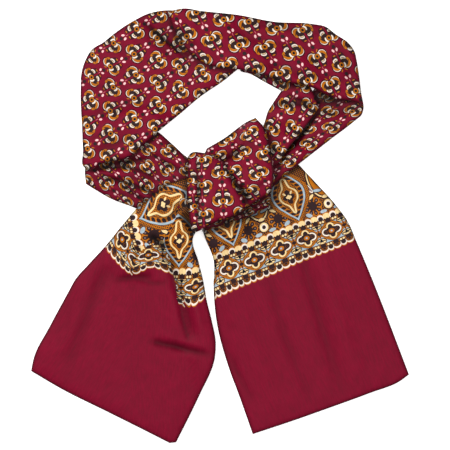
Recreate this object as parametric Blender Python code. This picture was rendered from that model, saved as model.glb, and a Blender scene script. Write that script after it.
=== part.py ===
"""Tubular dress scarf of light twill, laid flat in a neck loop and tied in one flat knot.

The scarf is one printed length sewn into a tube, so each plain end is a front ply on a back
ply. Round the loop the tube lies folded on itself: each stretch that shows is one rounded
solid whose edge is grooved between its layers. The stretches are laid on each other in the
order of LAY_ORDER. Each one sinks to the surface at z = 0 or drapes over what already lies
there. X runs to the right and Y to the top of the loop.
"""

import math
from collections import namedtuple

import bpy
import numpy as np
from mathutils.geometry import delaunay_2d_cdt

MM = 0.001

PLY = 1.1
LAYER_GAP = 0.3
EDGE_STEP = 10.5
SOFT_EDGE = 3.0
DRAPE_REACH = 13.0
DRAPE_BLUR = 8.0

MAP_STEP = 2.5
MAP_HALF_X = 260.0
MAP_HALF_Y = 300.0

# Edge points in millimetres from the middle of the laid scarf. The line runs smoothly
# through a point marked SMOOTH and turns sharply at one marked CORNER.
SMOOTH = 1
CORNER = 0
Edge = namedtuple("Edge", "x y run")

# A fold runs from its start past its middle to its end. Its depth is negative for a trough.
Fold = namedtuple("Fold", "x0 y0 xm ym x1 y1 width depth")

# rise is the height in the middle, rim the height at the edge, reach how far in from the
# edge it climbs. layers counts the rounded layers that the edge shows, each lip deep.
Lay = namedtuple("Lay", "rise rim reach layers lip cell")

KNOT_BACK_EDGE = [
    Edge(-31, 75, SMOOTH),
    Edge(-8, 86, SMOOTH),
    Edge(34, 117, SMOOTH),
    Edge(48, 117, SMOOTH),
    Edge(57, 86, SMOOTH),
    Edge(56, 39, SMOOTH),
    Edge(26, 18, SMOOTH),
    Edge(-21, 5, SMOOTH),
    Edge(-30, 34, SMOOTH),
]

STRAND_LOWER_LEFT_EDGE = [
    Edge(-174, 54.5, CORNER),
    Edge(-140.5, 35, SMOOTH),
    Edge(-109, 23, SMOOTH),
    Edge(-78, 8, SMOOTH),
    Edge(-42, 1, SMOOTH),
    Edge(-10, 14, SMOOTH),
    Edge(3, 39, SMOOTH),
    Edge(-3, 65, SMOOTH),
    Edge(-21, 80, SMOOTH),
    Edge(-41.5, 88.5, SMOOTH),
    Edge(-61, 105.5, SMOOTH),
    Edge(-80.5, 122, SMOOTH),
    Edge(-94, 129, SMOOTH),
    Edge(-120, 127, SMOOTH),
    Edge(-151, 114, SMOOTH),
    Edge(-171, 93, SMOOTH),
    Edge(-175.5, 72, SMOOTH),
]

TAIL_RIGHT_EDGE = [
    Edge(-21.5, -9, SMOOTH),
    Edge(-8, -46.5, SMOOTH),
    Edge(-8.5, -76.5, SMOOTH),
    Edge(-4.5, -123.5, SMOOTH),
    Edge(11.5, -184.5, SMOOTH),
    Edge(24.5, -219.5, SMOOTH),
    Edge(42.5, -270.5, CORNER),
    Edge(93.5, -253.5, SMOOTH),
    Edge(143, -236, SMOOTH),
    Edge(195, -217, SMOOTH),
    Edge(234, -201.5, SMOOTH),
    Edge(245.5, -193, CORNER),
    Edge(223.5, -135, SMOOTH),
    Edge(206.5, -91, SMOOTH),
    Edge(176.5, -18, SMOOTH),
    Edge(166.5, 5, SMOOTH),
    Edge(149.5, 28.5, SMOOTH),
    Edge(126, 54.5, SMOOTH),
    Edge(102.5, 79.5, CORNER),
    Edge(84.5, 84, SMOOTH),
    Edge(54.5, 79, SMOOTH),
    Edge(19.5, 60, SMOOTH),
    Edge(-13, 27, SMOOTH),
    Edge(-24.5, 5, SMOOTH),
]

TAIL_LEFT_EDGE = [
    Edge(-109, 22, CORNER),
    Edge(-92.5, 34, SMOOTH),
    Edge(-82, 44, SMOOTH),
    Edge(-70, 52, SMOOTH),
    Edge(-43, 62.5, SMOOTH),
    Edge(-19.5, 68, SMOOTH),
    Edge(2.5, 62, SMOOTH),
    Edge(8, 39, SMOOTH),
    Edge(-8, 13, SMOOTH),
    Edge(-27.5, -3, SMOOTH),
    Edge(-34.5, -14, SMOOTH),
    Edge(-27.5, -47, SMOOTH),
    Edge(-21, -74, SMOOTH),
    Edge(-17.5, -95, SMOOTH),
    Edge(-10.5, -123.5, SMOOTH),
    Edge(-5.5, -151, SMOOTH),
    Edge(-6.5, -170, SMOOTH),
    Edge(-26.5, -219.5, SMOOTH),
    Edge(-39, -245.5, SMOOTH),
    Edge(-57, -281, CORNER),
    Edge(-65.5, -282, CORNER),
    Edge(-91, -269, SMOOTH),
    Edge(-143, -243, SMOOTH),
    Edge(-208, -210.5, SMOOTH),
    Edge(-245.5, -188.5, CORNER),
    Edge(-242, -171.5, SMOOTH),
    Edge(-221, -130, SMOOTH),
    Edge(-195, -82, SMOOTH),
    Edge(-189, -71, SMOOTH),
    Edge(-169, -48, SMOOTH),
    Edge(-148, -25, SMOOTH),
    Edge(-130, -3, SMOOTH),
]

PANEL_LEFT_EDGE = [
    Edge(-176, 76, SMOOTH),
    Edge(-177.5, 99, SMOOTH),
    Edge(-179, 126, SMOOTH),
    Edge(-181, 173, SMOOTH),
    Edge(-179, 203, SMOOTH),
    Edge(-174, 217, SMOOTH),
    Edge(-166.5, 229, SMOOTH),
    Edge(-152, 238, CORNER),
    Edge(-132.5, 253.5, SMOOTH),
    Edge(-113, 266, SMOOTH),
    Edge(-92.5, 276, SMOOTH),
    Edge(-71.5, 280, SMOOTH),
    Edge(-44, 277, SMOOTH),
    Edge(-18, 262, SMOOTH),
    Edge(8, 231, SMOOTH),
    Edge(23.5, 204, CORNER),
    Edge(6.5, 190, SMOOTH),
    Edge(-26, 167.5, SMOOTH),
    Edge(-52, 145.5, SMOOTH),
    Edge(-80.5, 122, CORNER),
    Edge(-91, 112, SMOOTH),
    Edge(-104, 101.5, SMOOTH),
    Edge(-117, 89, SMOOTH),
    Edge(-136.5, 85, SMOOTH),
    Edge(-156, 79.5, SMOOTH),
    Edge(-169, 73, SMOOTH),
]

STRAND_RIGHT_OUTER_EDGE = [
    Edge(186.5, 153.5, SMOOTH),
    Edge(184, 144.5, SMOOTH),
    Edge(175.5, 137, SMOOTH),
    Edge(143, 112, SMOOTH),
    Edge(102.5, 80.5, SMOOTH),
    Edge(84.5, 66.5, SMOOTH),
    Edge(54.5, 43, SMOOTH),
    Edge(36.5, 62.5, SMOOTH),
    Edge(54.5, 91, SMOOTH),
    Edge(82, 119.5, SMOOTH),
    Edge(101.5, 143, SMOOTH),
    Edge(114, 166, SMOOTH),
    Edge(127, 182, SMOOTH),
    Edge(156, 184, SMOOTH),
    Edge(176.5, 175, SMOOTH),
]

STRAND_RIGHT_FLAP_EDGE = [
    Edge(79.5, 175.5, CORNER),
    Edge(69, 160, SMOOTH),
    Edge(62.5, 149.5, SMOOTH),
    Edge(58, 135, SMOOTH),
    Edge(54.5, 125, SMOOTH),
    Edge(47, 105, SMOOTH),
    Edge(48, 72, CORNER),
    Edge(69, 76.5, SMOOTH),
    Edge(91, 104, SMOOTH),
    Edge(110.5, 128.5, SMOOTH),
    Edge(128, 153, CORNER),
    Edge(123.5, 166.5, SMOOTH),
    Edge(114.5, 184.5, SMOOTH),
    Edge(91, 200, SMOOTH),
    Edge(54.5, 210, SMOOTH),
    Edge(30, 208, SMOOTH),
    Edge(26, 202, SMOOTH),
    Edge(39, 197.5, SMOOTH),
    Edge(58, 187, SMOOTH),
]

PANEL_TOP_EDGE = [
    Edge(-67.5, 278, CORNER),
    Edge(-45.5, 282, SMOOTH),
    Edge(-26, 279, SMOOTH),
    Edge(21, 274.5, SMOOTH),
    Edge(73, 265, SMOOTH),
    Edge(119.5, 262.5, SMOOTH),
    Edge(138, 258.5, SMOOTH),
    Edge(149.5, 249.5, SMOOTH),
    Edge(166.5, 238, SMOOTH),
    Edge(174, 228, SMOOTH),
    Edge(178, 212, SMOOTH),
    Edge(181, 190, SMOOTH),
    Edge(183.5, 170.5, SMOOTH),
    Edge(186, 158, CORNER),
    Edge(169, 162.5, SMOOTH),
    Edge(151, 164.5, SMOOTH),
    Edge(136.5, 170.5, SMOOTH),
    Edge(119.5, 179, SMOOTH),
    Edge(84.5, 186, SMOOTH),
    Edge(54.5, 196.5, SMOOTH),
    Edge(22, 203, SMOOTH),
    Edge(-6.5, 206.5, SMOOTH),
    Edge(-32.5, 218.5, SMOOTH),
    Edge(-52, 242, SMOOTH),
    Edge(-62.5, 261.5, SMOOTH),
]

KNOT_PLEATS_EDGE = [
    Edge(-24, -7.5, CORNER),
    Edge(-10.5, -3.5, SMOOTH),
    Edge(14.5, 5, SMOOTH),
    Edge(40.5, 13.5, SMOOTH),
    Edge(62.5, 24.5, CORNER),
    Edge(65.5, 37.5, SMOOTH),
    Edge(67.5, 52, CORNER),
    Edge(54.5, 52, SMOOTH),
    Edge(34, 40, SMOOTH),
    Edge(10.5, 24, SMOOTH),
    Edge(-10.5, 12, SMOOTH),
]

KNOT_FRONT_EDGE = [
    Edge(-41.5, 90, CORNER),
    Edge(-37.5, 94.5, SMOOTH),
    Edge(-19.5, 94.5, CORNER),
    Edge(-17, 100.5, CORNER),
    Edge(6.5, 114.5, SMOOTH),
    Edge(35, 135, SMOOTH),
    Edge(46, 140, CORNER),
    Edge(56, 128.5, SMOOTH),
    Edge(64.5, 96, SMOOTH),
    Edge(69.5, 64.5, SMOOTH),
    Edge(65, 41.5, CORNER),
    Edge(48, 32.5, SMOOTH),
    Edge(34, 23.5, SMOOTH),
    Edge(14.5, 11, SMOOTH),
    Edge(-9, 3, SMOOTH),
    Edge(-19.5, -3, SMOOTH),
    Edge(-35.5, -10, CORNER),
    Edge(-39, 8, SMOOTH),
    Edge(-41.5, 27.5, SMOOTH),
    Edge(-43, 45.5, SMOOTH),
    Edge(-41.5, 64.5, SMOOTH),
]

NO_FOLDS = []

STRAND_LOWER_LEFT_FOLDS = [
    Fold(-160, 72, -123, 82, -88, 87, 5, -3.5),
    Fold(-171, 63, -123, 60, -60, 76, 6, -2.2),
    Fold(-170, 58, -122, 48, -72, 52, 7, 1.8),
    Fold(-166, 55, -130, 42, -102, 37, 4, -1.6),
]

TAIL_RIGHT_FOLDS = [
    Fold(118, 20, 146, -90, 184, -205, 12, 2.2),
    Fold(96, 10, 122, -95, 160, -215, 8, -2.0),
    Fold(10, -60, 40, -150, 78, -238, 13, 1.6),
    Fold(60, -40, 84, -140, 122, -232, 7, -1.4),
    Fold(4, -150, 22, -190, 42, -225, 5, -1.6),
]

TAIL_LEFT_FOLDS = [
    Fold(-73, -20, -56, -75, -38, -137, 6, -4.0),
    Fold(-88, -150, -60, -156, -12, -167, 5, -4.0),
    Fold(-136, -57, -166, -96, -196, -188, 10, -3.0),
    Fold(-136, -70, -112, -67, -88, -66, 5, -3.2),
    Fold(-128, -44, -106, -52, -84, -48, 8, 2.6),
    Fold(-46, -44, -34, -95, -22, -140, 7, 2.4),
]

PANEL_LEFT_FOLDS = [
    Fold(-176, 140, -140, 150, -98, 166, 7, -1.5),
    Fold(-98, 262, -84, 240, -48, 214, 6, -2.0),
    Fold(-166, 96, -136, 106, -100, 120, 6, -2.0),
    Fold(-150, 218, -120, 214, -82, 222, 9, 1.2),
]

STRAND_RIGHT_OUTER_FOLDS = [
    Fold(182, 154, 152, 148, 122, 146, 7, -3.2),
    Fold(170, 140, 130, 110, 92, 82, 8, 1.2),
]

STRAND_RIGHT_FLAP_FOLDS = [
    Fold(66, 155, 102, 160, 126, 154, 3.5, -2.6),
    Fold(62, 120, 78, 120, 92, 114, 7, 1.2),
]

PANEL_TOP_FOLDS = [
    Fold(150, 236, 165, 206, 172, 176, 6, -2.4),
    Fold(58, 191, 108, 184, 168, 168, 6, 2.8),
    Fold(54, 208, 105, 199, 152, 188, 7, -1.6),
    Fold(20, 267, 80, 257, 140, 250, 4, -1.5),
    Fold(-40, 262, -22, 240, 12, 222, 7, 1.4),
]

KNOT_PLEATS_FOLDS = [
    Fold(-6, 2, 24, 14, 64, 34, 2.2, -2.0),
    Fold(10, 12, 36, 26, 65, 42, 2.2, -2.0),
    Fold(22, 8, 42, 17, 62, 27, 2.0, -1.6),
]

KNOT_FRONT_FOLDS = [
    Fold(-29, 88, -28, 40, -27, -4, 3, -2.6),
    Fold(3, 77, 13, 90, 38, 108, 3.5, -2.6),
    Fold(18, 59, 32, 42, 34, 26, 4, -5.0),
    Fold(42, 132, 56, 100, 63, 60, 5, 1.4),
    Fold(-12, 70, -8, 40, -6, 12, 9, 1.6),
    Fold(-36, 60, -34, 30, -31, 2, 3, 1.2),
]

# The stretches from the lowest to the highest. A ply is an even wall, which rises as a whole
# over the air below it. A stretch is solid from what it rests on up to its crown.
Piece = namedtuple("Piece", "name kind edge inset lay folds colour")

BURGUNDY = (0.24, 0.012, 0.032)
PRINT_RED = (0.21, 0.02, 0.03)

LAY_ORDER = [
    Piece("knot_back", "stretch", KNOT_BACK_EDGE, 0.0,
          Lay(2.6, 2.0, 6, 2, 0.8, 16), NO_FOLDS, PRINT_RED),
    Piece("strand_lower_left", "stretch", STRAND_LOWER_LEFT_EDGE, 0.0,
          Lay(7.8, 5.4, 12, 3, 1.3, 12), STRAND_LOWER_LEFT_FOLDS, PRINT_RED),
    Piece("tail_right_back", "ply", TAIL_RIGHT_EDGE, 0.6,
          Lay(0.0, 0.0, 20, 1, 0.4, 28), NO_FOLDS, BURGUNDY),
    Piece("tail_right_front", "ply", TAIL_RIGHT_EDGE, 0.0,
          Lay(2.4, 0.0, 26, 1, 0.5, 16), TAIL_RIGHT_FOLDS, BURGUNDY),
    Piece("tail_left_back", "ply", TAIL_LEFT_EDGE, 0.6,
          Lay(0.0, 0.0, 20, 1, 0.4, 28), NO_FOLDS, BURGUNDY),
    Piece("tail_left_front", "ply", TAIL_LEFT_EDGE, 0.0,
          Lay(3.6, 0.0, 26, 1, 0.5, 14), TAIL_LEFT_FOLDS, BURGUNDY),
    Piece("panel_left", "stretch", PANEL_LEFT_EDGE, 0.0,
          Lay(7.2, 4.8, 14, 3, 1.3, 13), PANEL_LEFT_FOLDS, PRINT_RED),
    Piece("strand_right_outer", "stretch", STRAND_RIGHT_OUTER_EDGE, 0.0,
          Lay(6.0, 4.4, 10, 3, 1.2, 12), STRAND_RIGHT_OUTER_FOLDS, PRINT_RED),
    Piece("strand_right_flap", "stretch", STRAND_RIGHT_FLAP_EDGE, 0.0,
          Lay(4.2, 2.8, 9, 2, 1.0, 11), STRAND_RIGHT_FLAP_FOLDS, PRINT_RED),
    Piece("panel_top", "stretch", PANEL_TOP_EDGE, 0.0,
          Lay(7.4, 4.8, 13, 3, 1.3, 13), PANEL_TOP_FOLDS, PRINT_RED),
    Piece("knot_pleats", "stretch", KNOT_PLEATS_EDGE, 0.0,
          Lay(4.4, 3.0, 6, 3, 0.9, 9), KNOT_PLEATS_FOLDS, PRINT_RED),
    Piece("knot_front", "stretch", KNOT_FRONT_EDGE, 0.0,
          Lay(10.5, 6.4, 14, 4, 1.3, 9.5), KNOT_FRONT_FOLDS, PRINT_RED),
]


def clear_scene():
    for obj in list(bpy.data.objects):
        bpy.data.objects.remove(obj, do_unlink=True)


def end_slopes(points, runs, lengths):
    """The line's direction on leaving and on reaching each point, per millimetre."""
    count = len(points)
    leaving = np.zeros((count, 2))
    reaching = np.zeros((count, 2))
    for i in range(count):
        before = (points[i] - points[i - 1]) / lengths[i - 1]
        after = (points[(i + 1) % count] - points[i]) / lengths[i]
        if runs[i] == CORNER:
            reaching[i] = before
            leaving[i] = after
        else:
            share = lengths[i - 1] / (lengths[i - 1] + lengths[i])
            reaching[i] = leaving[i] = before * (1 - share) + after * share
    return leaving, reaching


def edge_line(table, step):
    """Points about step apart along the closed smooth line through the table's rows."""
    points = np.array([(row.x, row.y) for row in table], float)
    runs = [row.run for row in table]
    lengths = np.linalg.norm(np.roll(points, -1, axis=0) - points, axis=1)
    leaving, reaching = end_slopes(points, runs, lengths)
    line = []
    for i, length in enumerate(lengths):
        j = (i + 1) % len(points)
        pieces = max(1, round(length / step))
        for t in np.arange(pieces) / pieces:
            line.append(
                points[i] * (2 * t**3 - 3 * t**2 + 1)
                + points[j] * (3 * t**2 - 2 * t**3)
                + leaving[i] * length * (t**3 - 2 * t**2 + t)
                + reaching[j] * length * (t**3 - t**2)
            )
    line = np.array(line)
    ahead = np.roll(line, -1, axis=0)
    turns_left = (line[:, 0] * ahead[:, 1] - line[:, 1] * ahead[:, 0]).sum() > 0
    return line if turns_left else line[::-1]


def outward(line):
    """The unit direction out of the closed line at each of its points."""
    along = np.roll(line, -1, axis=0) - np.roll(line, 1, axis=0)
    out = np.stack([along[:, 1], -along[:, 0]], axis=1)
    return out / np.linalg.norm(out, axis=1)[:, None]


def distance_to(points, line, closed):
    """Each point's distance to the line, closed or open."""
    starts = line if closed else line[:-1]
    ends = np.roll(line, -1, axis=0) if closed else line[1:]
    best = np.full(len(points), np.inf)
    for start, end in zip(starts, ends):
        span = end - start
        share = np.clip((points - start) @ span / max(span @ span, 1e-12), 0, 1)
        gap = points - start - share[:, None] * span
        best = np.minimum(best, np.hypot(gap[:, 0], gap[:, 1]))
    return best


def is_inside(points, line):
    """True for each point within the closed line."""
    inside = np.zeros(len(points), bool)
    for start, end in zip(line, np.roll(line, -1, axis=0)):
        crosses = (start[1] > points[:, 1]) != (end[1] > points[:, 1])
        if start[1] != end[1]:
            at = start[0] + (points[:, 1] - start[1]) / (end[1] - start[1]) * (end[0] - start[0])
            inside ^= crosses & (points[:, 0] < at)
    return inside


def fold_line(fold, steps=8):
    t = np.linspace(0, 1, steps + 1)[:, None]
    start = np.array([fold.x0, fold.y0], float)
    middle = np.array([fold.xm, fold.ym], float)
    end = np.array([fold.x1, fold.y1], float)
    bend = 2 * middle - (start + end) / 2
    return start * (1 - t) ** 2 + bend * 2 * t * (1 - t) + end * t**2


def fold_heights(points, folds):
    height = np.zeros(len(points))
    for fold in folds:
        away = distance_to(points, fold_line(fold), closed=False)
        height += fold.depth * np.exp(-((away / fold.width) ** 2))
    return height


def dome(away, reach):
    """0 at the edge, climbing steeply and then levelling out at 1 from reach on."""
    climb = np.clip(away / reach, 0, 1)
    return np.sqrt(1 - (1 - climb) ** 2)


def map_axes():
    xs = np.arange(-MAP_HALF_X, MAP_HALF_X + MAP_STEP / 2, MAP_STEP)
    ys = np.arange(-MAP_HALF_Y, MAP_HALF_Y + MAP_STEP / 2, MAP_STEP)
    return xs, ys


def map_points():
    xs, ys = map_axes()
    across, along = np.meshgrid(xs, ys)
    return np.stack([across.ravel(), along.ravel()], axis=1)


def disc_offsets(radius):
    cells = int(radius // MAP_STEP)
    steps = range(-cells, cells + 1)
    return [(i, j) for i in steps for j in steps if math.hypot(i, j) * MAP_STEP <= radius]


def drape_map(heights):
    """What a limp sheet laid over these heights follows: the highest nearby, then smoothed."""
    raised = np.where(heights > 0, heights + LAYER_GAP, 0.0)
    highest = raised.copy()
    for i, j in disc_offsets(DRAPE_REACH + DRAPE_BLUR):
        highest = np.maximum(highest, np.roll(raised, (i, j), axis=(0, 1)))
    blurred = np.zeros_like(highest)
    blur_steps = disc_offsets(DRAPE_BLUR)
    for i, j in blur_steps:
        blurred += np.roll(highest, (i, j), axis=(0, 1))
    return blurred / len(blur_steps)


def read_map(heights, points):
    """The map's height at each point, between its four nearest cells."""
    column = (points[:, 0] + MAP_HALF_X) / MAP_STEP
    row = (points[:, 1] + MAP_HALF_Y) / MAP_STEP
    j = np.clip(column.astype(int), 0, heights.shape[1] - 2)
    i = np.clip(row.astype(int), 0, heights.shape[0] - 2)
    u = column - j
    v = row - i
    low = heights[i, j] * (1 - u) + heights[i, j + 1] * u
    high = heights[i + 1, j] * (1 - u) + heights[i + 1, j + 1] * u
    return low * (1 - v) + high * v


def lower_and_upper(piece, line, points, below):
    """The heights of the piece's underside and top at each point."""
    lay = piece.lay
    away = distance_to(points, line, closed=True)
    inside_edge = np.clip(away / SOFT_EDGE, 0, 1)
    shape = dome(away, lay.reach)
    folds = fold_heights(points, piece.folds) * inside_edge
    rest = read_map(below, points)
    if piece.kind == "ply":
        lift = np.maximum(lay.rise * shape + folds * shape, 0.0)
        return rest + lift, rest + lift + PLY
    body = lay.rim + (lay.rise - lay.rim) * shape + folds
    return rest, rest + np.maximum(body, lay.rim * 0.5)


def inner_points(line, cell):
    """A row just inside the edge, then a staggered grid over the rest."""
    row = line - outward(line) * SOFT_EDGE
    away = distance_to(row, line, closed=True)
    row = row[is_inside(row, line) & (away > SOFT_EDGE * 0.9)]
    low = line.min(axis=0)
    high = line.max(axis=0)
    grid = []
    for i, y in enumerate(np.arange(low[1], high[1], cell * 0.866)):
        shift = cell / 2 if i % 2 else 0.0
        grid += [(x + shift, y) for x in np.arange(low[0], high[0], cell)]
    grid = np.array(grid)
    away = distance_to(grid, line, closed=True)
    grid = grid[is_inside(grid, line) & (away > SOFT_EDGE + cell * 0.5)]
    return np.concatenate([row, grid])


def flat_triangles(line, inner):
    """Triangles over the line's inside, with its points first and the inner points after."""
    places = [tuple(point) for point in np.concatenate([line, inner])]
    ring = list(range(len(line)))
    made = delaunay_2d_cdt(places, [], [ring], 1, 1e-6)
    index = [origin[0] for origin in made[3]]
    triangles = []
    for face in made[2]:
        a, b, c = (index[corner] for corner in face)
        ab = np.subtract(places[b], places[a])
        ac = np.subtract(places[c], places[a])
        turn = ab[0] * ac[1] - ab[1] * ac[0]
        triangles.append((a, b, c) if turn > 0 else (a, c, b))
    return triangles


def closed_mesh(name, line, inner, under, over, layers, lip):
    """A closed mesh between two heights, its edge rounded into layers."""
    ring = len(line)
    flat = np.concatenate([line, inner])
    triangles = flat_triangles(line, inner)
    out = outward(line)
    groove = line - out * lip
    points = []
    for i, (x, y) in enumerate(flat):
        place = groove[i] if i < ring else (x, y)
        points.append((place[0], place[1], over[i]))
    for i, (x, y) in enumerate(flat):
        place = groove[i] if i < ring else (x, y)
        points.append((place[0], place[1], under[i]))
    total = len(flat)
    faces = [tuple(tri) for tri in triangles]
    faces += [(a + total, c + total, b + total) for a, b, c in triangles]
    rows = [list(range(ring))]
    for step in range(1, 2 * layers):
        share = step / (2 * layers)
        place = line if step % 2 else groove
        rows.append(list(range(len(points), len(points) + ring)))
        for i in range(ring):
            height = over[i] + (under[i] - over[i]) * share
            points.append((place[i][0], place[i][1], height))
    rows.append([i + total for i in range(ring)])
    for upper, lower in zip(rows, rows[1:]):
        for i in range(ring):
            j = (i + 1) % ring
            faces.append((upper[i], lower[i], lower[j], upper[j]))
    mesh = bpy.data.meshes.new(name)
    mesh.from_pydata([(x * MM, y * MM, z * MM) for x, y, z in points], [], faces)
    mesh.validate()
    return mesh


def cloth_material(name, colour):
    material = bpy.data.materials.new(name)
    material.use_nodes = True
    shader = material.node_tree.nodes["Principled BSDF"]
    shader.inputs["Base Color"].default_value = (*colour, 1.0)
    shader.inputs["Roughness"].default_value = 0.55
    shader.inputs["Metallic"].default_value = 0.0
    return material


def lay_piece(piece, heights):
    """Makes the piece on what lies there already, and returns the heights with it added."""
    line = edge_line(piece.edge, EDGE_STEP)
    if piece.inset:
        line = line - outward(line) * piece.inset
    inner = inner_points(line, piece.lay.cell)
    below = drape_map(heights)
    flat = np.concatenate([line, inner])
    under, over = lower_and_upper(piece, line, flat, below)
    mesh = closed_mesh(piece.name, line, inner, under, over, piece.lay.layers, piece.lay.lip)
    mesh.shade_smooth()
    mesh.set_sharp_from_angle(angle=math.radians(50))
    obj = bpy.data.objects.new(piece.name, mesh)
    obj.data.materials.append(cloth_material(piece.name + "_cloth", piece.colour))
    bpy.context.scene.collection.objects.link(obj)
    points = map_points()
    covered = is_inside(points, line) | (distance_to(points, line, closed=True) < MAP_STEP)
    top = np.zeros(len(points))
    top[covered] = lower_and_upper(piece, line, points[covered], below)[1]
    return np.maximum(heights, top.reshape(heights.shape))


def build_scarf():
    xs, ys = map_axes()
    heights = np.zeros((len(ys), len(xs)))
    for piece in LAY_ORDER:
        heights = lay_piece(piece, heights)


clear_scene()
build_scarf()
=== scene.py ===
"""The looks of a tubular dress scarf, laid flat in a neck loop and tied in one flat knot.

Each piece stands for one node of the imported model. Its outline is the node's own, on a finer
net with the smaller creases, and its cloth map says where each spot lies on the flat twill.
The print is drawn in that map: rows of small flowers, and a border above each plain end.
"""

import math
from collections import namedtuple

import bpy
import numpy as np
from mathutils.geometry import delaunay_2d_cdt
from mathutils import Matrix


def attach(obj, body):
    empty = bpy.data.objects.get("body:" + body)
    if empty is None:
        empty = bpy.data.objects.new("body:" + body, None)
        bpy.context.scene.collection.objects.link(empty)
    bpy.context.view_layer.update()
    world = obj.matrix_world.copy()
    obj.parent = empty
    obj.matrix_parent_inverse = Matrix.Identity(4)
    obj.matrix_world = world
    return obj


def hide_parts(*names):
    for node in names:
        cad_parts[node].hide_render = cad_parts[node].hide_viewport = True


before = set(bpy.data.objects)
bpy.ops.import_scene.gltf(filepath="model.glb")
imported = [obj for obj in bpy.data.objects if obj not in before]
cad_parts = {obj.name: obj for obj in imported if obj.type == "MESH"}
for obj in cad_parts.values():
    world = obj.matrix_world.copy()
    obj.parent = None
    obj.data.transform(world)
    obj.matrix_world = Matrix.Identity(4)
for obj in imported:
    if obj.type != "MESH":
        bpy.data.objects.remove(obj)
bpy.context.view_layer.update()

MM = 0.001
TINY = 1e-12
JOIN_WITHIN = 1e-6

PLY = 1.1
LAYER_GAP = 0.3
EDGE_STEP = 3.2
SOFT_EDGE = 3.0
DRAPE_REACH = 13.0
DRAPE_BLUR = 8.0

MAP_STEP = 2.5
MAP_HALF_X = 260.0
MAP_HALF_Y = 300.0

# Edge points in millimetres from the middle of the laid scarf. The line runs smoothly
# through each, apart from one marked CORNER, where it turns sharply.
SMOOTH = 1
CORNER = 0
Edge = namedtuple("Edge", "x y run", defaults=[SMOOTH])

# A fold runs from its start past its middle to its end. Its depth is negative for a trough.
Fold = namedtuple("Fold", "x0 y0 xm ym x1 y1 width depth")

KNOT_BACK_EDGE = [
    Edge(-31, 75), Edge(-8, 86), Edge(34, 117), Edge(48, 117), Edge(57, 86), Edge(56, 39),
    Edge(26, 18), Edge(-21, 5), Edge(-30, 34),
]

STRAND_LOWER_LEFT_EDGE = [
    Edge(-174, 54.5, CORNER), Edge(-140.5, 35), Edge(-109, 23), Edge(-78, 8), Edge(-42, 1),
    Edge(-10, 14), Edge(3, 39), Edge(-3, 65), Edge(-21, 80), Edge(-41.5, 88.5), Edge(-61, 105.5),
    Edge(-80.5, 122), Edge(-94, 129), Edge(-120, 127), Edge(-151, 114), Edge(-171, 93),
    Edge(-175.5, 72),
]

TAIL_RIGHT_EDGE = [
    Edge(-21.5, -9), Edge(-8, -46.5), Edge(-8.5, -76.5), Edge(-4.5, -123.5), Edge(11.5, -184.5),
    Edge(24.5, -219.5), Edge(42.5, -270.5, CORNER), Edge(93.5, -253.5), Edge(143, -236),
    Edge(195, -217), Edge(234, -201.5), Edge(245.5, -193, CORNER), Edge(223.5, -135),
    Edge(206.5, -91), Edge(176.5, -18), Edge(166.5, 5), Edge(149.5, 28.5), Edge(126, 54.5),
    Edge(102.5, 79.5, CORNER), Edge(84.5, 84), Edge(54.5, 79), Edge(19.5, 60), Edge(-13, 27),
    Edge(-24.5, 5),
]

TAIL_LEFT_EDGE = [
    Edge(-109, 22, CORNER), Edge(-92.5, 34), Edge(-82, 44), Edge(-70, 52), Edge(-43, 62.5),
    Edge(-19.5, 68), Edge(2.5, 62), Edge(8, 39), Edge(-8, 13), Edge(-27.5, -3), Edge(-34.5, -14),
    Edge(-27.5, -47), Edge(-21, -74), Edge(-17.5, -95), Edge(-10.5, -123.5), Edge(-5.5, -151),
    Edge(-6.5, -170), Edge(-26.5, -219.5), Edge(-39, -245.5), Edge(-57, -281, CORNER),
    Edge(-65.5, -282, CORNER), Edge(-91, -269), Edge(-143, -243), Edge(-208, -210.5),
    Edge(-245.5, -188.5, CORNER), Edge(-242, -171.5), Edge(-221, -130), Edge(-195, -82),
    Edge(-189, -71), Edge(-169, -48), Edge(-148, -25), Edge(-130, -3),
]

PANEL_LEFT_EDGE = [
    Edge(-176, 76), Edge(-177.5, 99), Edge(-179, 126), Edge(-181, 173), Edge(-179, 203),
    Edge(-174, 217), Edge(-166.5, 229), Edge(-152, 238, CORNER), Edge(-132.5, 253.5),
    Edge(-113, 266), Edge(-92.5, 276), Edge(-71.5, 280), Edge(-44, 277), Edge(-18, 262),
    Edge(8, 231), Edge(23.5, 204, CORNER), Edge(6.5, 190), Edge(-26, 167.5), Edge(-52, 145.5),
    Edge(-80.5, 122, CORNER), Edge(-91, 112), Edge(-104, 101.5), Edge(-117, 89), Edge(-136.5, 85),
    Edge(-156, 79.5), Edge(-169, 73),
]

STRAND_RIGHT_OUTER_EDGE = [
    Edge(186.5, 153.5), Edge(184, 144.5), Edge(175.5, 137), Edge(143, 112), Edge(102.5, 80.5),
    Edge(84.5, 66.5), Edge(54.5, 43), Edge(36.5, 62.5), Edge(54.5, 91), Edge(82, 119.5),
    Edge(101.5, 143), Edge(114, 166), Edge(127, 182), Edge(156, 184), Edge(176.5, 175),
]

STRAND_RIGHT_FLAP_EDGE = [
    Edge(79.5, 175.5, CORNER), Edge(69, 160), Edge(62.5, 149.5), Edge(58, 135), Edge(54.5, 125),
    Edge(47, 105), Edge(48, 72, CORNER), Edge(69, 76.5), Edge(91, 104), Edge(110.5, 128.5),
    Edge(128, 153, CORNER), Edge(123.5, 166.5), Edge(114.5, 184.5), Edge(91, 200),
    Edge(54.5, 210), Edge(30, 208), Edge(26, 202), Edge(39, 197.5), Edge(58, 187),
]

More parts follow.
